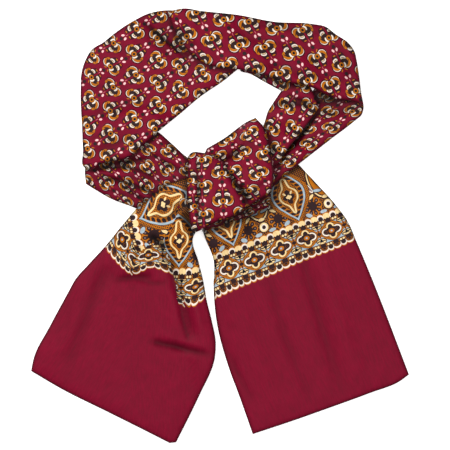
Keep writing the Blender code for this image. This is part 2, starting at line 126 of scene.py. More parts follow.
PANEL_TOP_EDGE = [
    Edge(-67.5, 278, CORNER), Edge(-45.5, 282), Edge(-26, 279), Edge(21, 274.5), Edge(73, 265),
    Edge(119.5, 262.5), Edge(138, 258.5), Edge(149.5, 249.5), Edge(166.5, 238), Edge(174, 228),
    Edge(178, 212), Edge(181, 190), Edge(183.5, 170.5), Edge(186, 158, CORNER), Edge(169, 162.5),
    Edge(151, 164.5), Edge(136.5, 170.5), Edge(119.5, 179), Edge(84.5, 186), Edge(54.5, 196.5),
    Edge(22, 203), Edge(-6.5, 206.5), Edge(-32.5, 218.5), Edge(-52, 242), Edge(-62.5, 261.5),
]

KNOT_PLEATS_EDGE = [
    Edge(-24, -7.5, CORNER), Edge(-10.5, -3.5), Edge(14.5, 5), Edge(40.5, 13.5),
    Edge(62.5, 24.5, CORNER), Edge(65.5, 37.5), Edge(67.5, 52, CORNER), Edge(54.5, 52),
    Edge(34, 40), Edge(10.5, 24), Edge(-10.5, 12),
]

KNOT_FRONT_EDGE = [
    Edge(-41.5, 90, CORNER), Edge(-37.5, 94.5), Edge(-19.5, 94.5, CORNER),
    Edge(-17, 100.5, CORNER), Edge(6.5, 114.5), Edge(35, 135), Edge(46, 140, CORNER),
    Edge(56, 128.5), Edge(64.5, 96), Edge(69.5, 64.5), Edge(65, 41.5, CORNER), Edge(48, 32.5),
    Edge(34, 23.5), Edge(14.5, 11), Edge(-9, 3), Edge(-19.5, -3), Edge(-35.5, -10, CORNER),
    Edge(-39, 8), Edge(-41.5, 27.5), Edge(-43, 45.5), Edge(-41.5, 64.5),
]

NO_FOLDS = []

STRAND_LOWER_LEFT_FOLDS = [
    Fold(-160, 72, -123, 82, -88, 87, 5, -3.5),
    Fold(-171, 63, -123, 60, -60, 76, 6, -2.2),
    Fold(-170, 58, -122, 48, -72, 52, 7, 1.8),
    Fold(-166, 55, -130, 42, -102, 37, 4, -1.6),
]

TAIL_RIGHT_FOLDS = [
    Fold(118, 20, 146, -90, 184, -205, 12, 2.2),
    Fold(96, 10, 122, -95, 160, -215, 8, -2),
    Fold(10, -60, 40, -150, 78, -238, 13, 1.6),
    Fold(60, -40, 84, -140, 122, -232, 7, -1.4),
    Fold(4, -150, 22, -190, 42, -225, 5, -1.6),
]

TAIL_LEFT_FOLDS = [
    Fold(-73, -20, -56, -75, -38, -137, 6, -4),
    Fold(-88, -150, -60, -156, -12, -167, 5, -4),
    Fold(-136, -57, -166, -96, -196, -188, 10, -3),
    Fold(-136, -70, -112, -67, -88, -66, 5, -3.2),
    Fold(-128, -44, -106, -52, -84, -48, 8, 2.6),
    Fold(-46, -44, -34, -95, -22, -140, 7, 2.4),
]

PANEL_LEFT_FOLDS = [
    Fold(-176, 140, -140, 150, -98, 166, 7, -1.5),
    Fold(-98, 262, -84, 240, -48, 214, 6, -2),
    Fold(-166, 96, -136, 106, -100, 120, 6, -2),
    Fold(-150, 218, -120, 214, -82, 222, 9, 1.2),
]

STRAND_RIGHT_OUTER_FOLDS = [
    Fold(182, 154, 152, 148, 122, 146, 7, -3.2),
    Fold(170, 140, 130, 110, 92, 82, 8, 1.2),
]

STRAND_RIGHT_FLAP_FOLDS = [
    Fold(66, 155, 102, 160, 126, 154, 3.5, -2.6),
    Fold(62, 120, 78, 120, 92, 114, 7, 1.2),
]

PANEL_TOP_FOLDS = [
    Fold(150, 236, 165, 206, 172, 176, 6, -2.4),
    Fold(58, 191, 108, 184, 168, 168, 6, 2.8),
    Fold(54, 208, 105, 199, 152, 188, 7, -1.6),
    Fold(20, 267, 80, 257, 140, 250, 4, -1.5),
    Fold(-40, 262, -22, 240, 12, 222, 7, 1.4),
]

KNOT_PLEATS_FOLDS = [
    Fold(-6, 2, 24, 14, 64, 34, 2.2, -2),
    Fold(10, 12, 36, 26, 65, 42, 2.2, -2),
    Fold(22, 8, 42, 17, 62, 27, 2, -1.6),
]

KNOT_FRONT_FOLDS = [
    Fold(-29, 88, -28, 40, -27, -4, 3, -2.6),
    Fold(3, 77, 13, 90, 38, 108, 3.5, -2.6),
    Fold(18, 59, 32, 42, 34, 26, 4, -5),
    Fold(42, 132, 56, 100, 63, 60, 5, 1.4),
    Fold(-12, 70, -8, 40, -6, 12, 9, 1.6),
    Fold(-36, 60, -34, 30, -31, 2, 3, 1.2),
]

# The print. A row of flowers repeats along the scarf every FLOWER_ALONG, and its neighbour
# lies FLOWER_ACROSS / 2 beside it, turned half round and shifted by FLOWER_SHIFT of a repeat.
FLOWER_ACROSS = 51.2
FLOWER_ALONG = 35.9
FLOWER_SHIFT = 0.41

BEAD_PITCH = 17.55
BLOCK_X = BEAD_PITCH / 2
QUATREFOIL_PITCH = 2 * BEAD_PITCH
MEDALLION_PITCH = 91.0
MIDWAY = MEDALLION_PITCH / 2
MEDALLION_START = -1.8
ROW_QUATREFOIL = 26.6
ROW_FIELD = 39.0
ROW_UPPER_EDGE = 51.3
ROW_MEDALLION = 84.5
ROW_FLOWERS = 124.0

# A pin ties a spot of the laid scarf, in millimetres, to its place on the flat cloth. On a
# flowered stretch that place is in repeats, on a tail in millimetres: across from the first
# quatrefoil, and along from the outer edge of the border.
Pin = namedtuple("Pin", "x y across along")

# A patch of a piece has its own pins, because the cloth is folded between it and the next.
# It covers what lies within its edge, and the first patch of a piece covers the rest.
Patch = namedtuple("Patch", "pins edge")

WHOLE = None

STRAND_LOWER_LEFT_PRINT = [
    Patch([
        Pin(-68.1, 72.5, 0, 0), Pin(-92.6, 98.3, 0, 1), Pin(-43.2, 74.2, 0.5, -0.41),
        Pin(-67.2, 98.3, 0.5, 0.59), Pin(-95, 78.8, -0.5, 0.59), Pin(-94.2, 50.2, -1, 0),
    ], WHOLE),
]

TAIL_RIGHT_PRINT = [
    Patch([
        Pin(11.6, -54.7, -105.3, 26.7), Pin(44.7, -44.1, -70.2, 26.7),
        Pin(79.4, -29.1, -35.1, 26.7), Pin(112.5, -15.6, 0, 26.7), Pin(143, -6.5, 33.1, 26.7),
        Pin(-6.5, -96.2, -140.1, 0), Pin(176.4, -18.6, 58.4, 0), Pin(102, 8.6, -1.8, 53.3),
        Pin(89.3, 37.4, -1.8, 84.5), Pin(17.3, -24.1, -92.8, 53.3),
    ], WHOLE),
]

TAIL_LEFT_PRINT = [
    Patch([
        Pin(-148.2, -31.2, -83.2, 0), Pin(-132, -50.7, -59.8, 0), Pin(-115.7, -64.4, -39, 0),
        Pin(-126.8, -17.4, -70.2, 26.7), Pin(-113.8, -45.5, -37.7, 23.4),
        Pin(-108.2, 21.7, -105.3, 50.7), Pin(-102, -13, -70.2, 50.7),
        Pin(-96.2, -27.3, -55.9, 50.7), Pin(-102.7, 9.4, -92.3, 53.3),
        Pin(-73.5, 27.3, -92.3, 84.5), Pin(-42.9, 42.9, -92.3, 115.7), Pin(-200, -150, -80, -130),
        Pin(-130, -150, -20, -110),
    ], WHOLE),
    Patch([
        Pin(-93.1, -37.6, 0, 26.7), Pin(-74.6, -38.7, 17.6, 26.7),
        Pin(-111.2, -42.9, -17.6, 26.7), Pin(-107.2, -63.1, -17.6, 0),
        Pin(-116.5, -64.2, -26.6, 0), Pin(-89.2, -54.5, 0, 0), Pin(-67.6, -61.8, 20.8, 0),
        Pin(-91, -18.2, 0, 50.7), Pin(-71.5, -15.6, 17.6, 50.7), Pin(-60, -112, 26, -48),
        Pin(-46, -150, 40, -90), Pin(-100, -150, -10, -110),
    ], [
        (-96.5, -26.4), (-104.9, -38.7), (-111.5, -52.1), (-113.8, -58.9), (-118, -300),
        (-30, -300), (-57.9, -74.6), (-63.4, -52.1), (-68.9, -33.8), (-73.5, -18.2),
    ]),
    Patch([
        Pin(-31.5, -79, -70.2, 26.7), Pin(-50.6, -80.2, -87.8, 26.7),
        Pin(-47.7, -100.4, -84.5, 0), Pin(-38.7, -107, -76.7, 0), Pin(-17.6, -93.6, -54.6, 0),
        Pin(-51.6, -54, -91, 50.7), Pin(-29.9, -52, -67.6, 50.7), Pin(-51.6, -19.5, -91.7, 84.5),
        Pin(-53.3, 15.6, -91.7, 117), Pin(-36, -150, -80, -48), Pin(-15, -150, -55, -55),
    ], [
        (-50.7, 36.4), (-57.2, 11.7), (-67.6, -7.8), (-73.5, -18.2), (-68.9, -33.8),
        (-63.4, -52.1), (-57.9, -74.6), (-46.8, -102.7), (-35.1, -141.7), (-20, -300),
        (60, -300), (60, 36),
    ]),
]

PANEL_LEFT_PRINT = [
    Patch([
        Pin(-80.9, 184.6, 0, 0), Pin(-111.5, 166, 0, -1), Pin(-142.3, 149.2, 0, -2),
        Pin(-172.2, 129.6, 0, -3), Pin(-52.8, 206.2, 0, 1), Pin(-142.3, 206.7, -1, -1),
        Pin(-111.5, 223, -1, 0), Pin(-166.7, 193.1, -1, -2),
    ], WHOLE),
]

STRAND_RIGHT_OUTER_PRINT = [
    Patch([
        Pin(86.7, 82.4, 0, -1), Pin(114, 105.3, 0, 0), Pin(143, 126.8, 0, 1), Pin(148, 86, 1, 0),
    ], WHOLE),
]

STRAND_RIGHT_FLAP_PRINT = [
    Patch([
        Pin(66.2, 126.6, 0, 0), Pin(96.7, 127.5, 0.5, 0.59), Pin(76.6, 99.3, 0.5, -0.41),
    ], WHOLE),
]

PANEL_TOP_PRINT = [
    Patch([
        Pin(95.8, 224.2, 0, 0), Pin(113.6, 188.6, 0, -1), Pin(157.8, 208.8, 1, -1),
        Pin(141.4, 244.3, 1, 0), Pin(73.8, 256.6, 0, 1), Pin(176, 175, 1, -2),
        Pin(58, 232.1, -0.5, 0.59), Pin(78, 197.7, -0.5, -0.41),
    ], WHOLE),
]

KNOT_FRONT_PRINT = [
    Patch([
        Pin(50.7, 66.3, 0, 0), Pin(28.7, 93, 0, 1), Pin(10.1, 111.5, 0, 2),
        Pin(58.5, 95.2, 0.5, 0.59), Pin(37.3, 120.6, 0.5, 1.59), Pin(14.8, 70.2, -0.5, 0.59),
        Pin(37.3, 45.6, -0.5, -0.41),
    ], WHOLE),
    Patch([
        Pin(2.5, 68.4, 0, 0), Pin(4, 32.2, 0, -1), Pin(-23.5, 84.8, -0.5, 0.59),
        Pin(-23.5, 52.5, -0.5, -0.41), Pin(-21.3, 15.3, -0.5, -1.41),
    ], [
        (-18.7, 93.6), (1.6, 84.4), (9.2, 74), (14.4, 62.8), (28.2, 43), (34.3, 25.7),
        (40, -30), (-28, -30), (-29, 40), (-30, 98), (-18.7, 98.8),
    ]),
    Patch([
        Pin(-32.5, 25.7, 0, 0), Pin(-38.6, 58.9, 0, 1), Pin(-23.4, 27.4, 0.18, 0),
    ], [
        (-30, 98), (-29, 40), (-28, -30), (-60, -30), (-60, 98),
    ]),
]

KNOT_PLEATS_PRINT = [
    Patch([
        Pin(20, 20, 0, 0), Pin(44, 33, 0, 1), Pin(29, 3, 1, 0),
    ], WHOLE),
]

KNOT_BACK_PRINT = [
    Patch([
        Pin(10, 50, 0, 0), Pin(10, 86, 0, 1), Pin(61, 50, 1, 0),
    ], WHOLE),
]

# The finer creases that only the looks have, in the terms of the folds above.
CREASES = {
    "strand_lower_left": [
        Fold(-150, 106, -120, 104, -84, 116, 5, -2),
        Fold(-160, 74, -120, 80, -70, 96, 4, -1.8),
        Fold(-140, 48, -104, 48, -64, 52, 4, -1.8),
        Fold(-158, 88, -132, 96, -104, 100, 4, 0.9),
        Fold(-134, 66, -108, 67, -80, 74, 3.5, 0.9),
        Fold(-120, 32, -92, 26, -56, 18, 4, -1),
        Fold(-100, 60, -84, 62, -62, 70, 3, -1.2),
        Fold(-168, 71, -120, 76, -82, 58, 3, -2.8),
        Fold(-160, 67, -107, 51, -84, 39, 3, -3.2),
        Fold(-157, 78, -133, 92, -112, 98, 6, -3),
        Fold(-150, 66, -118, 62, -90, 48, 3, 1.2),
        Fold(-137, 60, -108, 40, -92, 28, 3, -2.6),
        Fold(-74, 112, -57, 100, -42, 90, 3.5, -2.4),
        Fold(-96, 98, -70, 82, -46, 70, 3, -2.2),
    ],
    "tail_right_front": [
        Fold(140, 10, 158, -60, 172, -120, 12, 0.7),
        Fold(190, -60, 200, -110, 224, -190, 12, -0.5),
        Fold(64, -110, 84, -170, 112, -230, 13, 0.6),
        Fold(2, -90, 20, -130, 28, -180, 9, 0.8),
        Fold(130, -120, 142, -170, 152, -220, 10, -0.35),
        Fold(30, 20, 44, -16, 60, -60, 6, -1.3),
        Fold(96, 60, 108, 24, 116, -20, 6, -1),
        Fold(50, -90, 60, -104, 92, -118, 7, 0.7),
    ],
    "tail_left_front": [
        Fold(-150, -66, -176, -112, -222, -176, 9, 1.6),
        Fold(-118, -74, -128, -120, -150, -190, 11, 1.5),
        Fold(-92, -78, -96, -140, -112, -226, 14, -0.7),
        Fold(-66, -78, -60, -110, -66, -160, 8, 1.8),
        Fold(-50, -106, -46, -128, -40, -150, 4, -2.4),
        Fold(-30, -150, -52, -190, -66, -262, 9, 1.3),
        Fold(-110, -66, -88, -74, -66, -72, 4, -1.6),
        Fold(-90, -14, -80, -20, -68, -26, 4.5, -8),
        Fold(-78, -24, -74, -34, -66, -48, 3.5, -2.6),
        Fold(-52, 15, -43, 7, -34, -8, 4.5, -7),
        Fold(-44, 29, -58, 17, -77, 4, 3, -2.6),
        Fold(-104, -20, -110, -44, -116, -60, 3.5, -1.6),
        Fold(-80, 16, -62, 26, -44, 30, 4, -1.8),
        Fold(-151, -50, -156, -74, -160, -104, 9, -2.2),
        Fold(-190, -84, -198, -116, -196, -156, 10, -1.4),
        Fold(-72, -141, -50, -149, -14, -158, 6, 1.4),
        Fold(-140, -62, -112, -72, -78, -64, 10, -1.2),
        Fold(-64, -69, -47, -103, -35, -146, 7, -2.2),
    ],
    "panel_left": [
        Fold(-120, 262, -116, 236, -104, 206, 8, 1),
        Fold(-176, 186, -150, 178, -120, 182, 6, -1),
        Fold(-150, 160, -120, 172, -88, 196, 7, 0.8),
        Fold(-84, 262, -64, 246, -46, 222, 9, -2.6),
        Fold(-130, 104, -104, 118, -78, 140, 5, 1),
        Fold(-60, 160, -30, 180, 6, 200, 6, 1),
        Fold(-90, 176, -64, 196, -30, 214, 5, -0.8),
        Fold(-168, 112, -150, 118, -124, 122, 4, -0.9),
        Fold(-140, 240, -126, 226, -98, 214, 5, -0.8),
        Fold(-100, 266, -72, 242, -42, 218, 3.5, -3.6),
    ],
    "strand_right_outer": [
        Fold(176, 168, 156, 162, 138, 164, 5, -1.6),
        Fold(116, 176, 134, 164, 160, 160, 8, -6.5),
        Fold(130, 152, 104, 118, 72, 82, 4, -4.5),
        Fold(160, 132, 136, 122, 118, 110, 4, -0.9),
        Fold(120, 100, 104, 92, 86, 78, 4, 1),
    ],
    "strand_right_flap": [
        Fold(72, 140, 92, 144, 112, 140, 4, 0.9),
        Fold(58, 104, 68, 100, 82, 102, 3.5, -0.9),
        Fold(74, 168, 96, 174, 114, 170, 4, 0.9),
        Fold(64, 157, 98, 158, 122, 153, 3, -2.4),
        Fold(88, 171, 106, 162, 126, 155, 3, -2.6),
    ],
    "panel_top": [
        Fold(-30, 268, 20, 262, 60, 256, 6, 0.9),
        Fold(0, 250, 40, 244, 90, 232, 7, -0.9),
        Fold(60, 252, 76, 232, 84, 206, 6, 0.8),
        Fold(100, 250, 118, 226, 126, 196, 7, -0.8),
        Fold(-60, 262, -46, 246, -30, 222, 7, -3),
        Fold(160, 226, 152, 206, 156, 184, 5, 0.9),
        Fold(26, 222, 58, 216, 92, 208, 5, 0.9),
        Fold(172, 200, 160, 190, 146, 186, 4, -0.9),
    ],
    "knot_pleats": [
        Fold(-16, -3, 18, 8, 60, 24, 1.6, 1),
        Fold(0, 10, 30, 20, 64, 38, 1.6, 1),
        Fold(20, 24, 42, 34, 66, 48, 1.6, -1.2),
    ],
    "knot_front": [
        Fold(-18.7, 95, 2, 85, 11, 72, 3, -2.8),
        Fold(9, 72, 19, 57, 36, 24, 4, -4.4),
        Fold(24, 120, 34, 108, 46, 104, 4, -1.1),
        Fold(-14, 88, -10, 70, -12, 52, 5, -0.9),
        Fold(0, 48, 8, 30, 12, 14, 5, 1),
        Fold(40, 90, 48, 70, 48, 46, 5, 1),
        Fold(52, 44, 44, 40, 36, 34, 2.5, -1.5),
        Fold(60, 56, 50, 52, 40, 46, 3, -1.3),
    ],
}

# A fold's two ends are cut off by this share of its length, so that they are not pointed.
FOLD_END = 0.02

# The net's cells, and how its grid rows are spaced and held back from the edge.
FINE = 2.8
COARSE = 6.0
GRID_ROW = 0.866
GRID_CLEAR = 0.5
ROW_CLEAR = 0.9

# A stretch is nowhere thinner than THINNEST of its rim. The edges of its layers drift apart
# by LAP_DRIFT, in waves LAP_WAVE long that are LAP_TURN of a turn on from layer to layer.
EDGE_ROWS = 4
THINNEST = 0.5
LAP_DRIFT = 0.9
LAP_WAVE = 47.0
LAP_TURN = 0.37
LAP_MEAN = 0.6

# Pins are weighed in units of this many millimetres, and eased by this much.
PIN_UNIT = 100.0
PIN_EASE = 0.002

# rise is the height in the middle, rim the height at the edge, reach how far in from the
# edge it climbs. layers counts the rounded layers that the edge shows, each lip deep.
Lay = namedtuple("Lay", "rise rim reach layers lip")

# flat is the width and length in metres of the cut that shows, and area its flat area.
Piece = namedtuple("Piece", "name kind edge inset lay folds patches cell flat area rests_on")


def end_slopes(points, runs, lengths):
    """The line's direction on leaving and on reaching each point, per millimetre."""
    count = len(points)
    leaving = np.zeros((count, 2))
    reaching = np.zeros((count, 2))
    for i in range(count):
        before = (points[i] - points[i - 1]) / lengths[i - 1]
        after = (points[(i + 1) % count] - points[i]) / lengths[i]
        if runs[i] == CORNER:
            reaching[i] = before
            leaving[i] = after
        else:
            share = lengths[i - 1] / (lengths[i - 1] + lengths[i])
            reaching[i] = leaving[i] = before * (1 - share) + after * share
    return leaving, reaching


def edge_line(table, step):
    """Points about step apart along the closed smooth line through the table's rows."""
    points = np.array([(row.x, row.y) for row in table], float)
    runs = [row.run for row in table]
    lengths = np.linalg.norm(np.roll(points, -1, axis=0) - points, axis=1)
    leaving, reaching = end_slopes(points, runs, lengths)
    line = []
    for i, length in enumerate(lengths):
        j = (i + 1) % len(points)
        pieces = max(1, round(length / step))
        for t in np.arange(pieces) / pieces:
            line.append(
                points[i] * (2 * t**3 - 3 * t**2 + 1)
                + points[j] * (3 * t**2 - 2 * t**3)
                + leaving[i] * length * (t**3 - 2 * t**2 + t)
                + reaching[j] * length * (t**3 - t**2)
            )
    line = np.array(line)
    ahead = np.roll(line, -1, axis=0)
    turns_left = (line[:, 0] * ahead[:, 1] - line[:, 1] * ahead[:, 0]).sum() > 0
    return line if turns_left else line[::-1]


def outward(line):
    """The unit direction out of the closed line at each of its points."""
    along = np.roll(line, -1, axis=0) - np.roll(line, 1, axis=0)
    out = np.stack([along[:, 1], -along[:, 0]], axis=1)
    return out / np.linalg.norm(out, axis=1)[:, None]


def distance_and_share(points, line, closed):
    """Each point's distance to the line, and how far along it the nearest place is."""
    starts = line if closed else line[:-1]
    ends = np.roll(line, -1, axis=0) if closed else line[1:]
    best = np.full(len(points), np.inf)
    along = np.zeros(len(points))
    for i, (start, end) in enumerate(zip(starts, ends)):
        span = end - start
        share = np.clip((points - start) @ span / max(span @ span, TINY), 0, 1)
        gap = points - start - share[:, None] * span
        away = np.hypot(gap[:, 0], gap[:, 1])
        nearer = away < best
        best[nearer] = away[nearer]
        along[nearer] = (i + share[nearer]) / len(starts)
    return best, along


def distance_to(points, line, closed):
    return distance_and_share(points, line, closed)[0]


def is_inside(points, line):
    """True for each point within the closed line."""
    inside = np.zeros(len(points), bool)
    for start, end in zip(line, np.roll(line, -1, axis=0)):
        crosses = (start[1] > points[:, 1]) != (end[1] > points[:, 1])
        if start[1] != end[1]:
            at = start[0] + (points[:, 1] - start[1]) / (end[1] - start[1]) * (end[0] - start[0])
            inside ^= crosses & (points[:, 0] < at)
    return inside


def fold_line(fold, steps=8):
    t = np.linspace(0, 1, steps + 1)[:, None]
    start = np.array([fold.x0, fold.y0], float)
    middle = np.array([fold.xm, fold.ym], float)
    end = np.array([fold.x1, fold.y1], float)
    bend = 2 * middle - (start + end) / 2
    return start * (1 - t) ** 2 + bend * 2 * t * (1 - t) + end * t**2


def folds_of(piece):
    return piece.folds + CREASES.get(piece.name, [])


def fold_lifts(points, folds):
    """How far each fold or crease lifts or sinks each point. They run out softly."""
    lifts = np.zeros((len(folds), len(points)))
    for row, fold in enumerate(folds):
        away, along = distance_and_share(points, fold_line(fold), closed=False)
        fade = np.sqrt(np.sin(np.pi * (FOLD_END + (1 - 2 * FOLD_END) * along)))
        lifts[row] = fold.depth * fade * np.exp(-((away / fold.width) ** 2))
    return lifts


def dome(away, reach):
    """0 at the edge, climbing steeply and then levelling out at 1 from reach on."""
    climb = np.clip(away / reach, 0, 1)
    return np.sqrt(1 - (1 - climb) ** 2)


def map_axes():
    xs = np.arange(-MAP_HALF_X, MAP_HALF_X + MAP_STEP / 2, MAP_STEP)
    ys = np.arange(-MAP_HALF_Y, MAP_HALF_Y + MAP_STEP / 2, MAP_STEP)
    return xs, ys


def map_points():
    xs, ys = map_axes()
    across, along = np.meshgrid(xs, ys)
    return np.stack([across.ravel(), along.ravel()], axis=1)


def disc_offsets(radius):
    cells = int(radius // MAP_STEP)
    steps = range(-cells, cells + 1)
    return [(i, j) for i in steps for j in steps if math.hypot(i, j) * MAP_STEP <= radius]


def drape_map(heights):
    """What a limp sheet laid over these heights follows: the highest nearby, then smoothed."""
    raised = np.where(heights > 0, heights + LAYER_GAP, 0.0)
    highest = raised.copy()
    for i, j in disc_offsets(DRAPE_REACH + DRAPE_BLUR):
        highest = np.maximum(highest, np.roll(raised, (i, j), axis=(0, 1)))
    blurred = np.zeros_like(highest)
    blur_steps = disc_offsets(DRAPE_BLUR)
    for i, j in blur_steps:
        blurred += np.roll(highest, (i, j), axis=(0, 1))
    return blurred / len(blur_steps)


def read_map(heights, points):
    """The map's height at each point, between its four nearest cells."""
    column = (points[:, 0] + MAP_HALF_X) / MAP_STEP
    row = (points[:, 1] + MAP_HALF_Y) / MAP_STEP
    j = np.clip(column.astype(int), 0, heights.shape[1] - 2)
    i = np.clip(row.astype(int), 0, heights.shape[0] - 2)
    u = column - j
    v = row - i
    low = heights[i, j] * (1 - u) + heights[i, j + 1] * u
    high = heights[i + 1, j] * (1 - u) + heights[i + 1, j + 1] * u
    return low * (1 - v) + high * v


def lower_and_upper(piece, line, points, below):
    """The heights of the piece's underside and top at each point."""
    lay = piece.lay
    away = distance_to(points, line, closed=True)
    inside_edge = np.clip(away / SOFT_EDGE, 0, 1)
    shape = dome(away, lay.reach)
    folds = fold_lifts(points, folds_of(piece)).sum(axis=0) * inside_edge
    rest = read_map(below, points)
    if piece.kind == "ply":
        lift = np.maximum(lay.rise * shape + folds * shape, 0.0)
        return rest + lift, rest + lift + PLY
    body = lay.rim + (lay.rise - lay.rim) * shape + folds
    return rest, rest + np.maximum(body, lay.rim * THINNEST)


def inner_points(line, cell):
    """A row just inside the edge, then a staggered grid over the rest."""
    row = line - outward(line) * SOFT_EDGE
    away = distance_to(row, line, closed=True)
    row = row[is_inside(row, line) & (away > SOFT_EDGE * ROW_CLEAR)]
    low = line.min(axis=0)
    high = line.max(axis=0)
    grid = []
    for i, y in enumerate(np.arange(low[1], high[1], cell * GRID_ROW)):
        shift = cell / 2 if i % 2 else 0.0
        grid += [(x + shift, y) for x in np.arange(low[0], high[0], cell)]
    grid = np.array(grid)
    away = distance_to(grid, line, closed=True)
    grid = grid[is_inside(grid, line) & (away > SOFT_EDGE + cell * GRID_CLEAR)]
    return np.concatenate([row, grid])


def flat_triangles(line, inner):
    """Triangles over the line's inside, with its points first and the inner points after."""
    places = [tuple(point) for point in np.concatenate([line, inner])]
    ring = list(range(len(line)))
    made = delaunay_2d_cdt(places, [], [ring], 1, JOIN_WITHIN)
    index = [origin[0] for origin in made[3]]
    triangles = []
    for face in made[2]:
        a, b, c = (index[corner] for corner in face)
        ab = np.subtract(places[b], places[a])
        ac = np.subtract(places[c], places[a])
        turn = ab[0] * ac[1] - ab[1] * ac[0]
        triangles.append((a, b, c) if turn > 0 else (a, c, b))
    return triangles


def cloth_places(points, pins):
    """Where each point lies on the flat cloth, eased smoothly between the pins."""
    at = np.array([(pin.x, pin.y) for pin in pins], float) / PIN_UNIT
    on = np.array([(pin.across, pin.along) for pin in pins], float)
    count = len(at)

    def pull(here, there):
        square = ((here[:, None] - there[None]) ** 2).sum(axis=2) + TINY
        return 0.5 * square * np.log(square)

    system = np.zeros((count + 3, count + 3))
    system[:count, :count] = pull(at, at) + PIN_EASE * np.eye(count)
    system[:count, count] = system[count, :count] = 1.0
    system[:count, count + 1:] = at
    system[count + 1:, :count] = at.T
    wanted = np.concatenate([on, np.zeros((3, 2))])
    weights = np.linalg.lstsq(system, wanted, rcond=None)[0]
    here = points / PIN_UNIT
    return pull(here, at) @ weights[:count] + weights[count] + here @ weights[count + 1:]


def lap_drift(line, layer):
    """How far a layer's edge stands back from the top one's, unevenly along the line."""
    if layer == 0:
        return np.zeros(len(line))
    steps = np.linalg.norm(np.roll(line, -1, axis=0) - line, axis=1)
    travelled = np.cumsum(steps)
    turns = travelled / LAP_WAVE + layer * LAP_TURN
    return LAP_DRIFT * (LAP_MEAN + (1 - LAP_MEAN) * np.sin(2 * math.pi * turns))


def edge_sections(line, over, under, lay):
    """The rows of points down the edge, rounded out at each layer and drawn in between."""
    out = outward(line)
    rows = []
    for step in range(1, EDGE_ROWS * lay.layers):
        layer, place = divmod(step, EDGE_ROWS)
        inset = lay.lip * (1 - math.sin(math.pi * place / EDGE_ROWS)) + lap_drift(line, layer)
        height = over + (under - over) * step / (EDGE_ROWS * lay.layers)
        rows.append(np.column_stack([line - out * inset[:, None], height]))
    return rows


def cloth_mesh(piece, line, inner, under, over):
    """The closed mesh, and which faces are the top, the edge and the underside."""
    ring = len(line)
    total = ring + len(inner)
    triangles = flat_triangles(line, inner)
    groove = line - outward(line) * piece.lay.lip
    flat = np.concatenate([groove, inner])
    points = [np.column_stack([flat, over]), np.column_stack([flat, under])]
    faces = [tuple(tri) for tri in triangles]
    faces += [(a + total, c + total, b + total) for a, b, c in triangles]
    rows = [np.arange(ring)]
    for row in edge_sections(line, over[:ring], under[:ring], piece.lay):
        rows.append(np.arange(ring) + sum(len(part) for part in points))
        points.append(row)
    rows.append(np.arange(ring) + total)
    for upper, lower in zip(rows, rows[1:]):
        for i in range(ring):
            j = (i + 1) % ring
            faces.append((int(upper[i]), int(lower[i]), int(lower[j]), int(upper[j])))
    points = np.concatenate(points)
    mesh = bpy.data.meshes.new(piece.name)
    mesh.from_pydata([tuple(point) for point in points * MM], [], faces)
    return mesh, points, rows, len(triangles)


def print_places(piece, places, faces):
    """The place on the cloth of each face's corners, from the pins of the face's patch."""
    centres = np.array([places[list(face)].mean(axis=0) for face in faces])
    maps = [cloth_places(places, patch.pins) for patch in piece.patches]
    chosen = np.zeros(len(faces), int)
    for number, patch in enumerate(piece.patches):
        if patch.edge is not WHOLE:
            chosen[is_inside(centres, np.array(patch.edge, float))] = number
    return [maps[chosen[i]][list(face)] for i, face in enumerate(faces)]


def map_cloth(piece, mesh, line, points, rows, top_count):
    """Lays the cloth map on the mesh. Down the edge it runs on as the cloth would."""
    ring = len(line)
    spread = points[:, :2].copy()
    out = outward(line)
    for row in rows:
        fallen = points[rows[0], 2] - points[row, 2]
        spread[row] = line + out * (fallen[:, None] - piece.lay.lip)
    faces = [tuple(face.vertices) for face in mesh.polygons]
    flat = points[:, :2]
    corners = print_places(piece, flat, faces[:2 * top_count])
    corners += print_places(piece, spread, faces[2 * top_count:])
    layer = mesh.uv_layers.new(name=CLOTH_MAP)
    layer.data.foreach_set("uv", np.concatenate(corners).astype(np.float32).ravel())


def add_object(name, data):
    obj = bpy.data.objects.new(name, data)
    bpy.context.scene.collection.objects.link(obj)
    return obj


def lay_piece(piece, heights):
    """Makes the piece on what lies there already, and returns it and the heights with it."""
    line = edge_line(piece.edge, EDGE_STEP)
    if piece.inset:
        line = line - outward(line) * piece.inset
    inner = inner_points(line, piece.cell)
    below = drape_map(heights)
    flat = np.concatenate([line, inner])
    under, over = lower_and_upper(piece, line, flat, below)
    mesh, points, rows, top_count = cloth_mesh(piece, line, inner, under, over)
    map_cloth(piece, mesh, line, points, rows, top_count)
    mesh.shade_smooth()
    obj = add_object(piece.name + "_cloth", mesh)
    spots = map_points()
    covered = is_inside(spots, line) | (distance_to(spots, line, closed=True) < MAP_STEP)
    top = np.zeros(len(spots))
    top[covered] = lower_and_upper(piece, line, spots[covered], below)[1]
    return obj, np.maximum(heights, top.reshape(heights.shape))


FLOWERED = "printed_twill"
BORDERED = "plain_twill"

